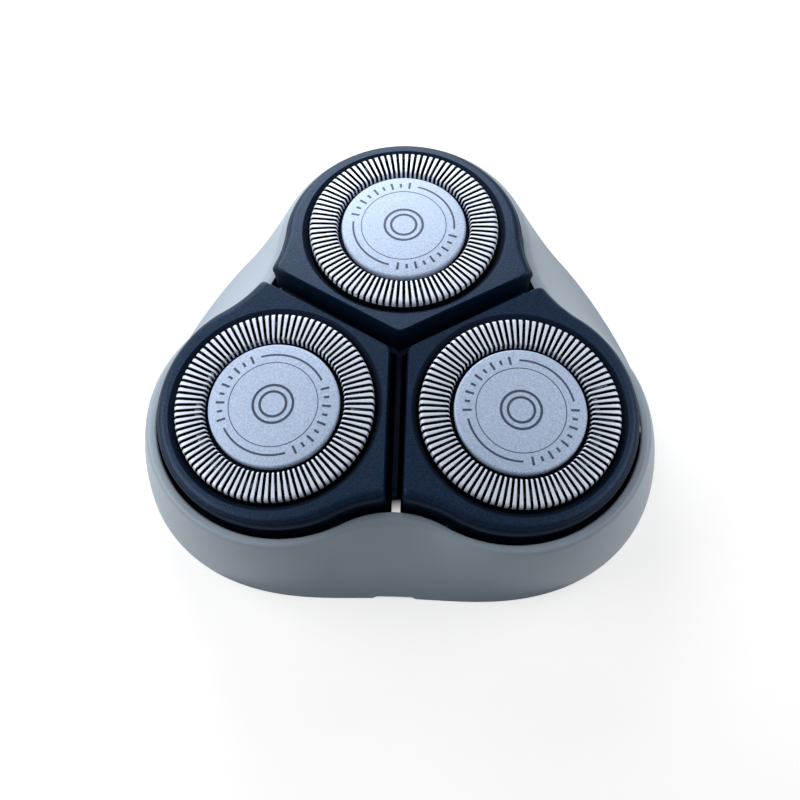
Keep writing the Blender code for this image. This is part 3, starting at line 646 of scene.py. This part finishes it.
def navy_grained_abs(base):
    """Dark navy ABS with a fine grain on its top face, which scatters light to a lighter navy.
    The grain is drawn coarser than the real one, so that it shows."""
    return moulded_plastic("navy_grained_abs", base, 0.42, 0.2 * MM, 0.025 * MM, 0.7, 0.18 * MM,
                           Specular_IOR_Level=0.45, Specular_Tint=NAVY_SHEEN)


def navy_polished_abs(base):
    """The same navy ABS where the mould was polished: nearly black with soft blue highlights."""
    return moulded_plastic("navy_polished_abs", base, 0.5, 0.3 * MM, 0.004 * MM, 0.3, 0.25 * MM,
                           Specular_IOR_Level=0.1, Specular_Tint=POLISHED_SHEEN)


def shaded_abs(base):
    """Navy ABS in the bore round a guard, with its reflection turned down and its roughness up so
    that it stays black: painted shade.
    """
    return moulded_plastic("navy_bore_abs", base, 0.6, 0.3 * MM, 0.003 * MM,
                           Specular_IOR_Level=0.12)


def dark_abs(base):
    """Plain dark navy ABS of the carrier, dull enough to sink into the gaps."""
    return moulded_plastic("dark_plain_abs", base, 0.5, 0.2 * MM, 0.003 * MM,
                           Specular_IOR_Level=0.3, Specular_Tint=NAVY_SHEEN)


def natural_acetal(base):
    """Natural acetal: off-white, slightly waxy, so light sinks in a little."""
    return moulded_plastic("natural_acetal", base, 0.36, 0.25 * MM, 0.0015 * MM, 0.02,
                           Subsurface_Weight=0.15, Subsurface_Scale=0.6 * MM)


def ring_nylon_painted_shade(base):
    """Glass-filled nylon of the bayonet rings with a slightly mottled skin, its colour drawn dark as
    painted shade so that the rings stay unseen below the cutters.
    """
    return moulded_plastic("dark_filled_nylon", base, 0.48, 0.3 * MM, 0.004 * MM, 0.08)


def printed_ink(base):
    """Pad-printed ink: a flat dark line with a slightly ragged density."""
    return moulded_plastic("printed_blue_grey_ink", base, 0.5, 0.1 * MM, 0.001 * MM, 0.1)


def stainless_painted_reflection(base):
    """Electropolished stainless steel, drawn near-white and mostly non-metallic so that its bright
    reflection is painted into its colour, broken by a faint etched ripple.
    """
    return finish("bright_stainless_steel", base, 0.35, 0.05, 0.5 * MM, 0.003 * MM, Metallic=0.18)


def shade_painted_steel(base):
    """Near-black steel for the guards' inner skin, the slots' side walls, the groove round the disc
    and the walls below the bar ends: painted shade, standing in for the shadow in the slots and
    hollows.
    """
    return finish("matt_inner_steel", base, 0.575, 0.075, 0.4 * MM, spread=0.2, Metallic=0.8)


def anodised_silver(base):
    """Bead-blasted anodised aluminium: a fine sparkle in an even satin sheen. The sparkle is
    drawn coarser than the real one, so that it shows."""
    return finish("anodised_satin_silver", base, 0.55, 0.05, 0.17 * MM, 0.004 * MM, 0.2,
                  detail=3.0, Metallic=0.25)


def ground_steel(base):
    """Stamped and ground steel of the cutters, with fine one-way scratches."""
    return finish("ground_cutter_steel", base, 0.3, 0.08, 0.25 * MM, 0.002 * MM, 0.08,
                  stretch=(8.0, 0.6, 1.0), Metallic=1.0)


def studio_floor(look):
    """Matt floor that gives back soft light. The camera sees it white outside the unit and dark below
    it, but for a painted glow in the front gap: a pool of light painted on the floor as emission that
    fades out from a point. Glossy surfaces see it white beyond the shaded part round the unit, and
    clear ones see it white all over."""
    material = finish("studio_floor", look.floor, 0.9, 0.0, 3 * MM, spread=0.01)
    tree = material.node_tree
    place = add_node(tree, "ShaderNodeTexCoord").outputs["Object"]
    path = add_node(tree, "ShaderNodeLightPath").outputs
    rounds = [((0.0, 0.0, 0.0), look.shade_reach), ((0.0, 0.0, 0.0), look.cover_reach)]
    rounds += [((*HEADS[side][:2, 3], 0.0), look.cover_round) for side in ("left", "right")]
    outside = []
    for middle, reach in rounds:
        apart = add_node(tree, "ShaderNodeVectorMath", {0: place, 1: middle}, operation="DISTANCE")
        beyond = {0: apart.outputs["Value"], 1: reach}
        outside.append(add_node(tree, "ShaderNodeMath", beyond, operation="GREATER_THAN").outputs[0])
    # Painted pool of light in the front gap: emission that fades from full at 0.5 mm from its middle
    # to none at its reach.
    front = add_node(tree, "ShaderNodeVectorMath", {0: place, 1: (0.0, -look.painted_glow_offset, 0.0)},
                     operation="DISTANCE").outputs["Value"]
    fade = {"Value": front, "From Min": 0.5 * MM, "From Max": look.painted_glow_reach,
            "To Min": 1.0, "To Max": 0.0}
    glow = add_node(tree, "ShaderNodeMapRange", fade).outputs["Result"]
    glint = add_node(tree, "ShaderNodeMath", {0: path["Is Glossy Ray"], 1: outside[0]},
                     operation="MULTIPLY").outputs[0]
    seen = outside[1]
    for operation, other in (("MULTIPLY", outside[2]), ("MULTIPLY", outside[3]), ("MAXIMUM", glow),
                             ("MULTIPLY", path["Is Camera Ray"]), ("MAXIMUM", glint),
                             ("MAXIMUM", path["Is Transmission Ray"])):
        seen = add_node(tree, "ShaderNodeMath", {0: seen, 1: other}, operation=operation).outputs[0]
    set_inputs(tree, tree.nodes["Principled BSDF"],
               {"Emission Strength": seen, "Emission Color": (*[look.floor_glow] * 3, 1.0)})
    return material


def housing_part(sizes):
    """Housing: for each row a level and an inset from the outer wall, up the outside, over the
    rim and down the inside; the level stops short at the notch, whose ends rise by 3t²-2t³, and
    a bead stands in under each lobe, with sloped sides and ends."""
    height = RIM_HEIGHT
    edge = 0.15 * MM
    slant = 0.3 * MM
    end_slack = 0.1 * MM
    front = 3 * np.pi / 2
    sweep = np.linspace(0, np.pi / 2, ROUND_ROWS)
    bend = sizes.rim_round * (1 - np.sin(sweep))
    lean = sizes.rim_round * (1 - np.cos(sweep))
    low_bend = edge * (1 - np.sin(sweep[::2]))
    low_lean = edge * (1 - np.cos(sweep[::2]))
    wall = np.linspace(1 - edge / height, sizes.rim_round / height, WALL_ROWS)
    rows = [(1 - low_bend[::-1] / height, low_lean[::-1]), (wall[1:-1], 0 * wall[1:-1]),
            (bend / height, lean), (bend[::-1] / height, sizes.rim_width - lean[::-1]),
            (wall[::-1][1:-1], 0 * wall[1:-1] + sizes.rim_width),
            (1 - low_bend / height, sizes.rim_width - low_lean)]
    level, inset = [np.concatenate(part)[:, None] for part in zip(*rows)]
    notch = math.asin(sizes.notch_width / 2 / sizes.front_reach)
    slope = math.asin(sizes.notch_slope / sizes.front_reach)
    cut = notch - slope * np.linspace(0, 1, SLOPE_COLUMNS)
    turn = np.unique(np.concatenate([even_turns(HOUSING_COLUMNS), front - cut, front + cut]))[None]
    lift = np.clip((notch - np.abs(turn - front)) / slope, 0, 1)
    lift = lift * lift * (3 - 2 * lift) * sizes.notch_height
    level = np.minimum(level, 1 - lift / height)
    bead_middle = PLATE_BOTTOM - slant - sizes.bead_height / 2
    across = np.clip((sizes.bead_width / 2 - from_lobe(turn) * sizes.lobe_reach) / slant, 0, 1)
    upright = np.abs(height * (1 - level) - bead_middle)
    along = np.clip((sizes.bead_height / 2 + end_slack - upright) / slant, 0, 1)
    bead = np.where(inset > sizes.rim_width / 2, sizes.bead_reach * across * along, 0)
    radius = wall_radius(turn, level, sizes) - inset - bead
    points = polar_points(radius, turn, height * (1 - level)) + (0, UNIT_AXIS[1], 0)
    return grid_part(points, closed=True)


def frame_radius(turn, housing, sizes, grow, side_grow):
    """Distance from a head's centre to its frame's outline: the common outline, found by
    halving a stretch of each ray, and the two straight sides, blended by a high power."""
    near, far = [np.full(turn.shape, reach) for reach in SEARCH_REACH]
    for _ in range(HALVINGS):
        middle = (near + far) / 2
        x = middle * np.cos(turn)
        y = middle * np.sin(turn) + HEAD_OFFSET
        outside = np.hypot(x, y) > trefoil_radius(np.arctan2(y, x), housing, grow)
        near, far = np.where(outside, near, middle), np.where(outside, middle, far)
    lateral = HEAD_OFFSET * math.sin(math.pi / 3) - sizes.gap / 2 + side_grow
    total = near ** -sizes.corner_power
    for facing in (math.radians(-60), math.radians(240)):
        straight = lateral / np.maximum(np.cos(turn - facing), LEAST_SLOPE)
        total = total + straight ** -sizes.corner_power
    return total ** (-1 / sizes.corner_power)


def frame_part(housing, sizes):
    """Head frame: rows run up the wall, out to the rolled edge along half a cosine wave, over it
    along a quarter ellipse, across the top to the chamfered bore, down its lip, out to the seat
    and down again; each row is the outline grown by its own amount, or a circle. A high power
    of a cosine keeps the fill to the waists."""
    turn = even_turns(FRAME_COLUMNS)
    sweep = np.linspace(0, np.pi / 2, ROLL_ROWS + 1)[1:]
    share = np.linspace(0, 1, OUT_ROWS)
    bottom = sizes.drop + sizes.height
    fill = sizes.waist_fill * np.abs(np.cos(turn)) ** WAIST_POWER
    rise = [0.0, *share, *np.ones(ROLL_ROWS)]
    slope = sizes.flare_depth - (sizes.flare_depth - sizes.swell_depth) * share
    depths = [bottom, *(sizes.drop + slope), *(sizes.drop + sizes.swell_depth * (1 - np.sin(sweep)))]
    out = sizes.flare + (sizes.swell - sizes.flare) * (1 - np.cos(share * np.pi)) / 2
    over = sizes.swell - (sizes.swell + sizes.edge_inset) * (1 - np.cos(sweep))
    side_grows = [0.0] * (1 + OUT_ROWS) + list(-sizes.side_round * (1 - np.cos(sweep)))
    outer = [frame_radius(turn, housing, sizes, grow + fill * part, side)
             for grow, side, part in zip([sizes.flare, *out, *over], side_grows, rise)]
    chamfer = sizes.lip_radius + sizes.lip_chamfer
    lip_bottom = sizes.drop + sizes.lip_thickness
    across = [outer[-1] + (chamfer - outer[-1]) * part for part in TOP_SHARES]
    circles = [(sizes.lip_radius, sizes.drop + sizes.lip_chamfer), (sizes.lip_radius, lip_bottom),
               (sizes.bore_radius, lip_bottom), (sizes.bore_radius, bottom)]
    radius = np.array(outer + across + [np.full(turn.shape, r) for r, _ in circles])
    depth = np.array(depths + [sizes.drop] * len(across) + [d for _, d in circles])
    slots = np.full(radius.shape, POLISHED, np.int32)
    roll_top = len(outer) - 1
    bore_top = roll_top + len(across) - 1
    slots[roll_top - ROLL_ROWS // 2:bore_top] = GRAINED
    # The bore gets the navy with its reflection turned down, as painted shade.
    slots[bore_top:] = BORE_SHADE
    points = polar_points(radius, turn[None], FACE - depth[:, None])
    return grid_part(points, closed=True), slots.ravel()


def seat_parts(sizes):
    """Blocks in a frame's bore: three bayonet hooks for the ring, two keys for the guard."""
    root = sizes.bore_radius + OVERLAP
    hook = (sizes.hook_near, sizes.hook_width, sizes.hook_top, sizes.hook_thickness)
    key = (sizes.key_near, sizes.key_width, sizes.key_top, sizes.key_height)
    parts = []
    for degrees, block in ((30, hook), (150, hook), (270, hook), (0, key), (180, key)):
        near, width, depth, thickness = block
        top = FACE - depth
        outline = box_outline(root - near, width, BLOCK_CORNER)
        place = Matrix.Rotation(math.radians(degrees), 4, "Z")
        place = place @ Matrix.Translation(((near + root) / 2, 0, 0))
        parts.append(moved(prism(outline, top - thickness, top, BLOCK_EASE), place))
    return joined(parts)


def across_head(outline, near, far, edge):
    """A flat outline made a block along a head's hinge, on both sides of the head."""
    lay = Matrix(((0, 0, 1, 0), (1, 0, 0, 0), (0, 1, 0, 0), (0, 0, 0, 1)))
    return joined([moved(prism(outline, *ends, edge), lay) for ends in ((near, far), (-far, -near))])


def tab_part(sizes):
    """Hinge tabs: upright, with a half round about the hinge at the lower end."""
    top = FACE - sizes.drop - sizes.height + OVERLAP
    end = arc_points(sizes.tab_radius, np.linspace(np.pi, 2 * np.pi, TAB_POINTS))
    corners = [[sizes.tab_radius, top], [-sizes.tab_radius, top]]
    return across_head(np.concatenate([end, corners]), sizes.tab_near, sizes.tab_far, BLOCK_EASE)


def pin_part(sizes):
    """Hinge pins: round, along the hinge."""
    outline = arc_points(sizes.pin_radius, even_turns(PIN_COLUMNS))
    return across_head(outline, sizes.pin_near, sizes.pin_far, PIN_EASE)


def guard_rows(sizes, offset, ease):
    """Section of a guard's steel, from the stud's hole to the flange's edge, moved into the
    metal by an offset and eased at its corners; the crown falls off towards its edges."""
    top = FACE - offset
    inner = sizes.inner + offset
    outer = sizes.radius - offset
    floor = FACE - sizes.floor_depth - offset
    flange = FACE - sizes.flange - offset
    foot = sizes.floor_radius + offset
    lean = (inner - foot) * (sizes.slot_inside - offset) / sizes.floor_depth
    crown = np.linspace(inner + sizes.inner_round, outer - sizes.outer_round, CROWN_POINTS)[1:-1]
    middle = (sizes.inner + sizes.radius) / 2
    half = (sizes.radius - sizes.inner) / 2
    corners = [(sizes.hole, floor, 0), (foot, floor, 0.2 * MM),
               (inner - lean, FACE - sizes.slot_inside, 0),
               (inner, top - sizes.crown, sizes.inner_round * ease)]
    corners += [(r, top - sizes.crown * ((r - middle) / half) ** 2, 0) for r in crown]
    corners += [(outer, top - sizes.crown, sizes.outer_round * ease),
                (outer, FACE - sizes.slot_outside, 0), (outer, flange, 0.15 * MM),
                (float(np.hypot(*GUARD_POINTS[:, :2].T).max()), flange, 0)]
    return rounded_path(corners, CORNER_STEPS)


def guard_part(sizes):
    """Guard: its section turned about the axis, once for each skin, with a slot of constant
    width left open between two bars, whose edges fall off, and the cuts closed by side walls.
    The slots run from the row above the floor's round foot to the one above the flange's, and only
    the slotted rows of the outer skin get the bright steel; the rest, the inner skin and the side
    walls get near-black steel as painted shade."""
    skin = guard_rows(sizes, 0.0, 1.0)
    inner_skin = guard_rows(sizes, sizes.wall, INNER_EASE)
    rows = len(skin)
    first = CORNER_STEPS + 2
    last = rows - CORNER_STEPS - 3
    pitch = 2 * np.pi / sizes.slots
    index = np.arange(sizes.slots)[None, :, None]
    radius = skin[:, :1, None]
    half = np.arcsin(sizes.slot_width / 2 / radius)
    soft = sizes.bar_edge / radius
    start = index * pitch + half
    end = (index + 1) * pitch - half
    turn = np.concatenate([start, start + soft, (start + end) / 2, end - soft, end], axis=2)
    turn = turn.reshape(rows, -1)
    columns = turn.shape[1]
    level = np.arange(rows - 1)
    slotted = (level >= first) & (level < last)
    last_of_bar = np.arange(columns) % len(BAR_FALL) == len(BAR_FALL) - 1
    mask = ~(slotted[:, None] & last_of_bar)
    weight = np.zeros((rows, 1))
    weight[first + 1:last] = 1
    drop = np.tile(BAR_FALL, sizes.slots)[None] * weight * sizes.bar_round
    along = np.gradient(skin, axis=0)
    normal = np.stack([-along[:, 1], along[:, 0]], axis=-1)
    normal /= np.linalg.norm(normal, axis=1)[:, None]
    outer_r = skin[:, :1] - normal[:, :1] * drop
    outer_z = skin[:, 1:] - normal[:, 1:] * drop
    points = [polar_points(outer_r, turn, outer_z).reshape(-1, 3),
              polar_points(inner_skin[:, :1], turn, inner_skin[:, 1:]).reshape(-1, 3)]
    shift = rows * columns
    solid = grid_faces(rows, columns, closed=False)[mask.ravel()]
    parts = [solid, solid[:, ::-1] + shift]
    spot = np.arange(shift).reshape(rows, columns)
    row, column = np.nonzero(np.roll(mask, 1, axis=1) != mask)
    cuts = [(spot[row, column], spot[row + 1, column])]
    padded = np.pad(mask, ((1, 1), (0, 0)))
    row, column = np.nonzero(padded[1:] != padded[:-1])
    cuts.append((spot[row, column], spot[row, (column + 1) % columns]))
    parts += [np.stack([near, far, far + shift, near + shift], axis=1) for near, far in cuts]
    # Slot 1, the near-black steel of painted shade, goes on every face but the slotted rows of the
    # outer skin.
    slots = np.ones(sum(len(part) for part in parts), np.int32)
    slots[:len(solid)] = np.repeat(~slotted, columns)[mask.ravel()]
    return (np.concatenate(points), np.concatenate(parts).tolist()), slots


def disc_height(radius, sizes):
    """Height of a disc's top: a dome that falls with the fourth power of the radius."""
    share = radius / (sizes.radius - sizes.edge)
    return FACE + sizes.dome - (sizes.dome + sizes.edge / 2) * share ** 4


def disc_part(sizes):
    """Disc: its domed top, a quarter ellipse at the edge, the underside and the stud, turned."""
    r = np.linspace(0, sizes.radius - sizes.edge, DOME_ROWS)
    sweep = np.linspace(0, np.pi / 2, EDGE_ROWS + 1)[1:]
    edge_r = sizes.radius - sizes.edge * (1 - np.sin(sweep))
    edge_z = FACE - sizes.edge * (1.5 - np.cos(sweep))
    top = np.stack([np.concatenate([r, edge_r]),
                    np.concatenate([disc_height(r, sizes), edge_z])], axis=-1)
    under = FACE - sizes.thickness
    tip = under - sizes.stud_length
    lower = rounded_path([(sizes.radius, FACE - 1.6 * sizes.edge, 0), (sizes.radius, under, 0.1 * MM),
                          (sizes.stud_radius, under, 0.1 * MM), (sizes.stud_radius, tip, 0.2 * MM),
                          (0.0, tip, 0)], 3)
    path = np.concatenate([top, lower])
    turn = even_turns(DISC_COLUMNS)[None]
    return grid_part(polar_points(path[:, :1], turn, path[:, 1:]), closed=False)


def stroke(middle, width, first, last, sizes):
    """Raised stroke of ink of some width round a middle radius, between two angles, which
    follows the disc's dome; one that doesn't go all the way round has its ends closed."""
    steps = max(2, int(abs(last - first) / STROKE_STEP))
    turn = np.linspace(first, last, steps + 1)[:, None]
    inner = middle - width / 2
    outer = middle + width / 2
    radius = np.array([inner, outer, outer, inner])[None]
    lift = sizes.ink_height * np.array([1, 1, -1, -1])
    points = polar_points(radius, turn, disc_height(radius, sizes) + lift)
    points, faces = grid_part(points, closed=False)
    if abs(last - first) < 2 * math.pi - STROKE_STEP:
        faces += [[0, 1, 2, 3], [4 * steps + 3, 4 * steps + 2, 4 * steps + 1, 4 * steps]]
    return points, faces


def print_part(sizes, start):
    """Print on a disc: a thin circle, two heavier arcs, long and short plain ticks between them
    and a plain double ring in the middle."""
    rings = [(sizes.circle, sizes.circle_line), (sizes.centre_ring, sizes.centre_line),
             (sizes.centre_ring * INNER_RING, sizes.centre_line)]
    strokes = [stroke(radius, line, 0, 2 * math.pi, sizes) for radius, line in rings]
    lean = sizes.tick_line / 2 / sizes.arcs
    room = math.pi - sizes.arc_sweep
    for arc_start in (start, start + math.pi):
        arc_end = arc_start + sizes.arc_sweep
        strokes.append(stroke(sizes.arcs, sizes.arc_line, arc_start, arc_end, sizes))
        for index in range(sizes.ticks):
            middle = arc_end + room * (index + 1) / (sizes.ticks + 1)
            tick = sizes.tick_length * (SHORT_TICK if index % 2 else 1.0)
            strokes.append(stroke(sizes.arcs, tick, middle - lean, middle + lean, sizes))
    return joined(strokes)


def hub_part(sizes):
    """Drive hub: recess, spigot, shoulder and skirt turned about the axis, then a three-lobed
    socket whose radius waves three times round."""
    levels = node_points("drive_hub_rear", HEADS["rear"])[:, 2]
    top = float(levels.max())
    bottom = float(levels.min())
    shoulder = top - sizes.spigot_rise
    roof = float(node_points("centre_disc_rear", HEADS["rear"])[:, 2].min()) - 0.3 * MM
    path = rounded_path([(0.0, roof, 0), (sizes.recess, roof, 0.1 * MM),
                         (sizes.recess, top, 0.08 * MM), (sizes.spigot_radius, top, 0.1 * MM),
                         (sizes.spigot_radius, shoulder, 0.08 * MM),
                         (sizes.hub_radius, shoulder, 0.15 * MM),
                         (sizes.hub_radius, bottom, sizes.hub_chamfer),
                         (sizes.hub_radius * 0.75, bottom, 0)], 4)
    turn = even_turns(HUB_COLUMNS)
    skirt = np.broadcast_to(path[:, :1], (len(path), turn.size))
    lobes = sizes.socket_radius + sizes.socket_lobe * np.cos(3 * turn)
    scale, rise = np.array([(1.08, 0.0), (1.0, 0.08), (1.0, 0.96), (0.96, 1.0), (0.0, 1.0)]).T
    radius = np.concatenate([skirt, lobes * scale[:, None]])
    height = np.concatenate([path[:, 1], bottom + sizes.socket_depth * rise])[:, None]
    return grid_part(polar_points(radius, turn[None], height), closed=False)


class MakeHousing(bpy.types.Operator):
    """Make the pale housing with its rim, finger notch and snap beads"""

    bl_idname = "shaver.make_housing"
    bl_label = "Housing"

    def execute(self, context):
        sizes = context.scene.shaver_housing
        mesh = make_mesh("housing", housing_part(sizes), [pale_abs(sizes.shell)])
        add_piece("housing", mesh, "housing", ["housing_shell"])
        return {"FINISHED"}


class MakeCarrier(bpy.types.Operator):
    """Make the head carrier with eased edges"""

    bl_idname = "shaver.make_carrier"
    bl_label = "Head carrier"

    def execute(self, context):
        material = dark_abs(context.scene.shaver_housing.carrier)
        mesh = refined_copy("head_carrier", MOULDED_BEVEL, material)
        add_piece("carrier", mesh, "housing", ["head_carrier"])
        return {"FINISHED"}


class MakeFrames(bpy.types.Operator):
    """Make the three navy head frames"""

    bl_idname = "shaver.make_frames"
    bl_label = "Head frames"

    def execute(self, context):
        sizes = context.scene.shaver_frame
        part, slots = frame_part(context.scene.shaver_housing, sizes)
        materials = [navy_grained_abs(sizes.top), navy_polished_abs(sizes.flank),
                     shaded_abs(sizes.flank)]
        mesh = make_mesh("petal", part, materials, slots)
        # The hooks and keys in the bore take the same painted shade as the bore.
        for extra, slot in ((seat_parts(sizes), BORE_SHADE), (tab_part(sizes), POLISHED),
                            (pin_part(sizes), POLISHED)):
            fill = np.full(len(extra[1]), slot, np.int32)
            mesh = united(mesh, make_mesh("petal_extra", extra, materials, fill))
        add_to_heads("petal_", mesh, "frame_", "head_frame_")
        return {"FINISHED"}


class MakeGuards(bpy.types.Operator):
    """Make the three slotted steel guards"""

    bl_idname = "shaver.make_guards"
    bl_label = "Slotted guards"

    def execute(self, context):
        sizes = context.scene.shaver_guard
        part, slots = guard_part(sizes)
        materials = [stainless_painted_reflection(sizes.steel), shade_painted_steel(sizes.inside)]
        mesh = make_mesh("slotted_guard", part, materials, slots)
        add_to_heads("slotted_guard_", mesh, "guard_", "guard_")
        return {"FINISHED"}


class MakeDiscs(bpy.types.Operator):
    """Make the three silver discs and their print"""

    bl_idname = "shaver.make_discs"
    bl_label = "Silver discs"

    def execute(self, context):
        sizes = context.scene.shaver_disc
        mesh = make_mesh("silver_disc", disc_part(sizes), [anodised_silver(sizes.silver)])
        add_to_heads("silver_disc_", mesh, "guard_", "centre_disc_")
        ink = printed_ink(sizes.ink)
        for side, place in HEADS.items():
            part = print_part(sizes, getattr(sizes, side + "_start"))
            mesh = make_mesh("disc_print_" + side, part, [ink])
            mesh.transform(Matrix(place.tolist()))
            add_piece("disc_print_" + side, mesh, "guard_" + side, [])
        return {"FINISHED"}


class MakeWorks(bpy.types.Operator):
    """Make the cutters, drive hubs and bayonet rings"""

    bl_idname = "shaver.make_works"
    bl_label = "Cutters, hubs and rings"

    def execute(self, context):
        sizes = context.scene.shaver_works
        hub_mesh = make_mesh("hub", hub_part(sizes), [natural_acetal(sizes.hub)])
        add_to_heads("hub_", hub_mesh, "cutter_", "drive_hub_")
        steel = ground_steel(sizes.cutter)
        nylon = ring_nylon_painted_shade(sizes.ring)
        for side in SIDES:
            blades = refined_copy("cutter_" + side, BLADE_BEVEL, steel)
            add_piece("blades_" + side, blades, "cutter_" + side, ["cutter_" + side])
            ring = refined_copy("retaining_ring_" + side, MOULDED_BEVEL, nylon)
            add_piece("lock_" + side, ring, "lock_ring_" + side, ["retaining_ring_" + side])
        return {"FINISHED"}


class MakeStage(bpy.types.Operator):
    """Make the pale floor, the soft lamps, the world and the camera"""

    bl_idname = "shaver.make_stage"
    bl_label = "Studio stage"

    def execute(self, context):
        look = context.scene.shaver_stage
        add_floor(look)
        for name in SIDES:
            add_lamp(name, look)
        set_world(look)
        add_camera(look)
        context.scene.view_settings.view_transform = "Standard"
        return {"FINISHED"}


def add_floor(look):
    """Flat floor of 3 m at the unit's base."""
    half = 1.5
    corners = [(-half, -half, 0), (half, -half, 0), (half, half, 0), (-half, half, 0)]
    mesh = bpy.data.meshes.new("floor")
    mesh.from_pydata(corners, [], [(0, 1, 2, 3)])
    mesh.materials.append(studio_floor(look))
    floor = new_object("floor", mesh)


def add_lamp(name, look):
    """Soft lamp at its own way round and height, facing the unit from close by, so that the
    light falls off over the unit."""
    data = bpy.data.lights.new(name + "_lamp", "AREA")
    data.shape = "RECTANGLE"
    data.size = look.lamp_width
    data.size_y = look.lamp_depth
    data.energy = getattr(look, name + "_power")
    turn = getattr(look, name + "_turn")
    height = getattr(look, name + "_height")
    away = Vector((math.cos(turn) * math.cos(height), math.sin(turn) * math.cos(height),
                   math.sin(height)))
    lamp = new_object(name + "_lamp", data)
    lamp.location = Vector(UNIT_AXIS) + away * look.lamp_distance
    lamp.visible_camera = False
    lamp.rotation_mode = "QUATERNION"
    lamp.rotation_quaternion = (-away).to_track_quat("-Z", "Y")


def set_world(look):
    """Even light from all round, which the camera sees as white."""
    world = bpy.data.worlds.new("studio")
    world.use_nodes = True
    tree = world.node_tree
    path = add_node(tree, "ShaderNodeLightPath").outputs
    span = {"Value": path["Is Camera Ray"], "To Min": look.world, "To Max": 1.0}
    strength = add_node(tree, "ShaderNodeMapRange", span).outputs["Result"]
    set_inputs(tree, tree.nodes["Background"],
               {"Color": (1.0, 1.0, 1.0, 1.0), "Strength": strength})
    bpy.context.scene.world = world


def add_camera(look):
    """Camera aimed at the middle of the guards' faces, then panned, tilted and rolled."""
    data = bpy.data.cameras.new("camera")
    data.lens = look.lens
    data.sensor_width = 36.0
    data.clip_start = 5 * MM
    data.clip_end = 10.0
    back = Vector((math.sin(look.azimuth) * math.cos(look.elevation),
                   -math.cos(look.azimuth) * math.cos(look.elevation), math.sin(look.elevation)))
    right = Vector((math.cos(look.azimuth), math.sin(look.azimuth), 0))
    basis = Matrix((right, back.cross(right), back)).transposed()
    turn = basis @ Matrix.Rotation(-look.tilt, 3, "X") @ Matrix.Rotation(look.pan, 3, "Y")
    turn = turn @ Matrix.Rotation(look.roll, 3, "Z")
    place = Vector(UNIT_AXIS) + back * look.distance
    camera = new_object("camera", data)
    camera.matrix_world = Matrix.Translation(place) @ turn.to_4x4()
    bpy.context.scene.camera = camera


class ShaverPanel(bpy.types.Panel):
    """Lists what makes the unit and the values that it is made from"""

    bl_idname = "VIEW3D_PT_shaver"
    bl_label = "Shaving unit"
    bl_space_type = "VIEW_3D"
    bl_region_type = "UI"
    bl_category = "Shaving unit"

    def draw(self, context):
        for operator in OPERATORS:
            self.layout.operator(operator.bl_idname)
        for name, group in GROUPS.items():
            values = getattr(context.scene, name)
            box = self.layout.box()
            for entry in group.__annotations__:
                box.prop(values, entry)


GROUPS = {"shaver_housing": HousingLook, "shaver_frame": FrameLook, "shaver_guard": GuardLook,
          "shaver_disc": DiscLook, "shaver_works": WorksLook, "shaver_stage": StageLook}
OPERATORS = (MakeHousing, MakeCarrier, MakeFrames, MakeGuards, MakeDiscs, MakeWorks, MakeStage)


def register():
    """Make the classes and the scene's values known to Blender."""
    for group in GROUPS.values():
        bpy.utils.register_class(group)
    for operator in OPERATORS:
        bpy.utils.register_class(operator)
    bpy.utils.register_class(ShaverPanel)
    for name, group in GROUPS.items():
        setattr(bpy.types.Scene, name, bpy.props.PointerProperty(type=group))


def unregister():
    """Take back what register made."""
    for name in GROUPS:
        delattr(bpy.types.Scene, name)
    bpy.utils.unregister_class(ShaverPanel)
    for group in (*OPERATORS, *GROUPS.values()):
        bpy.utils.unregister_class(group)


def main():
    """Make every piece in order."""
    register()
    for operator in OPERATORS:
        getattr(bpy.ops.shaver, operator.bl_idname.split(".")[1])()


if __name__ == "__main__":
    main()
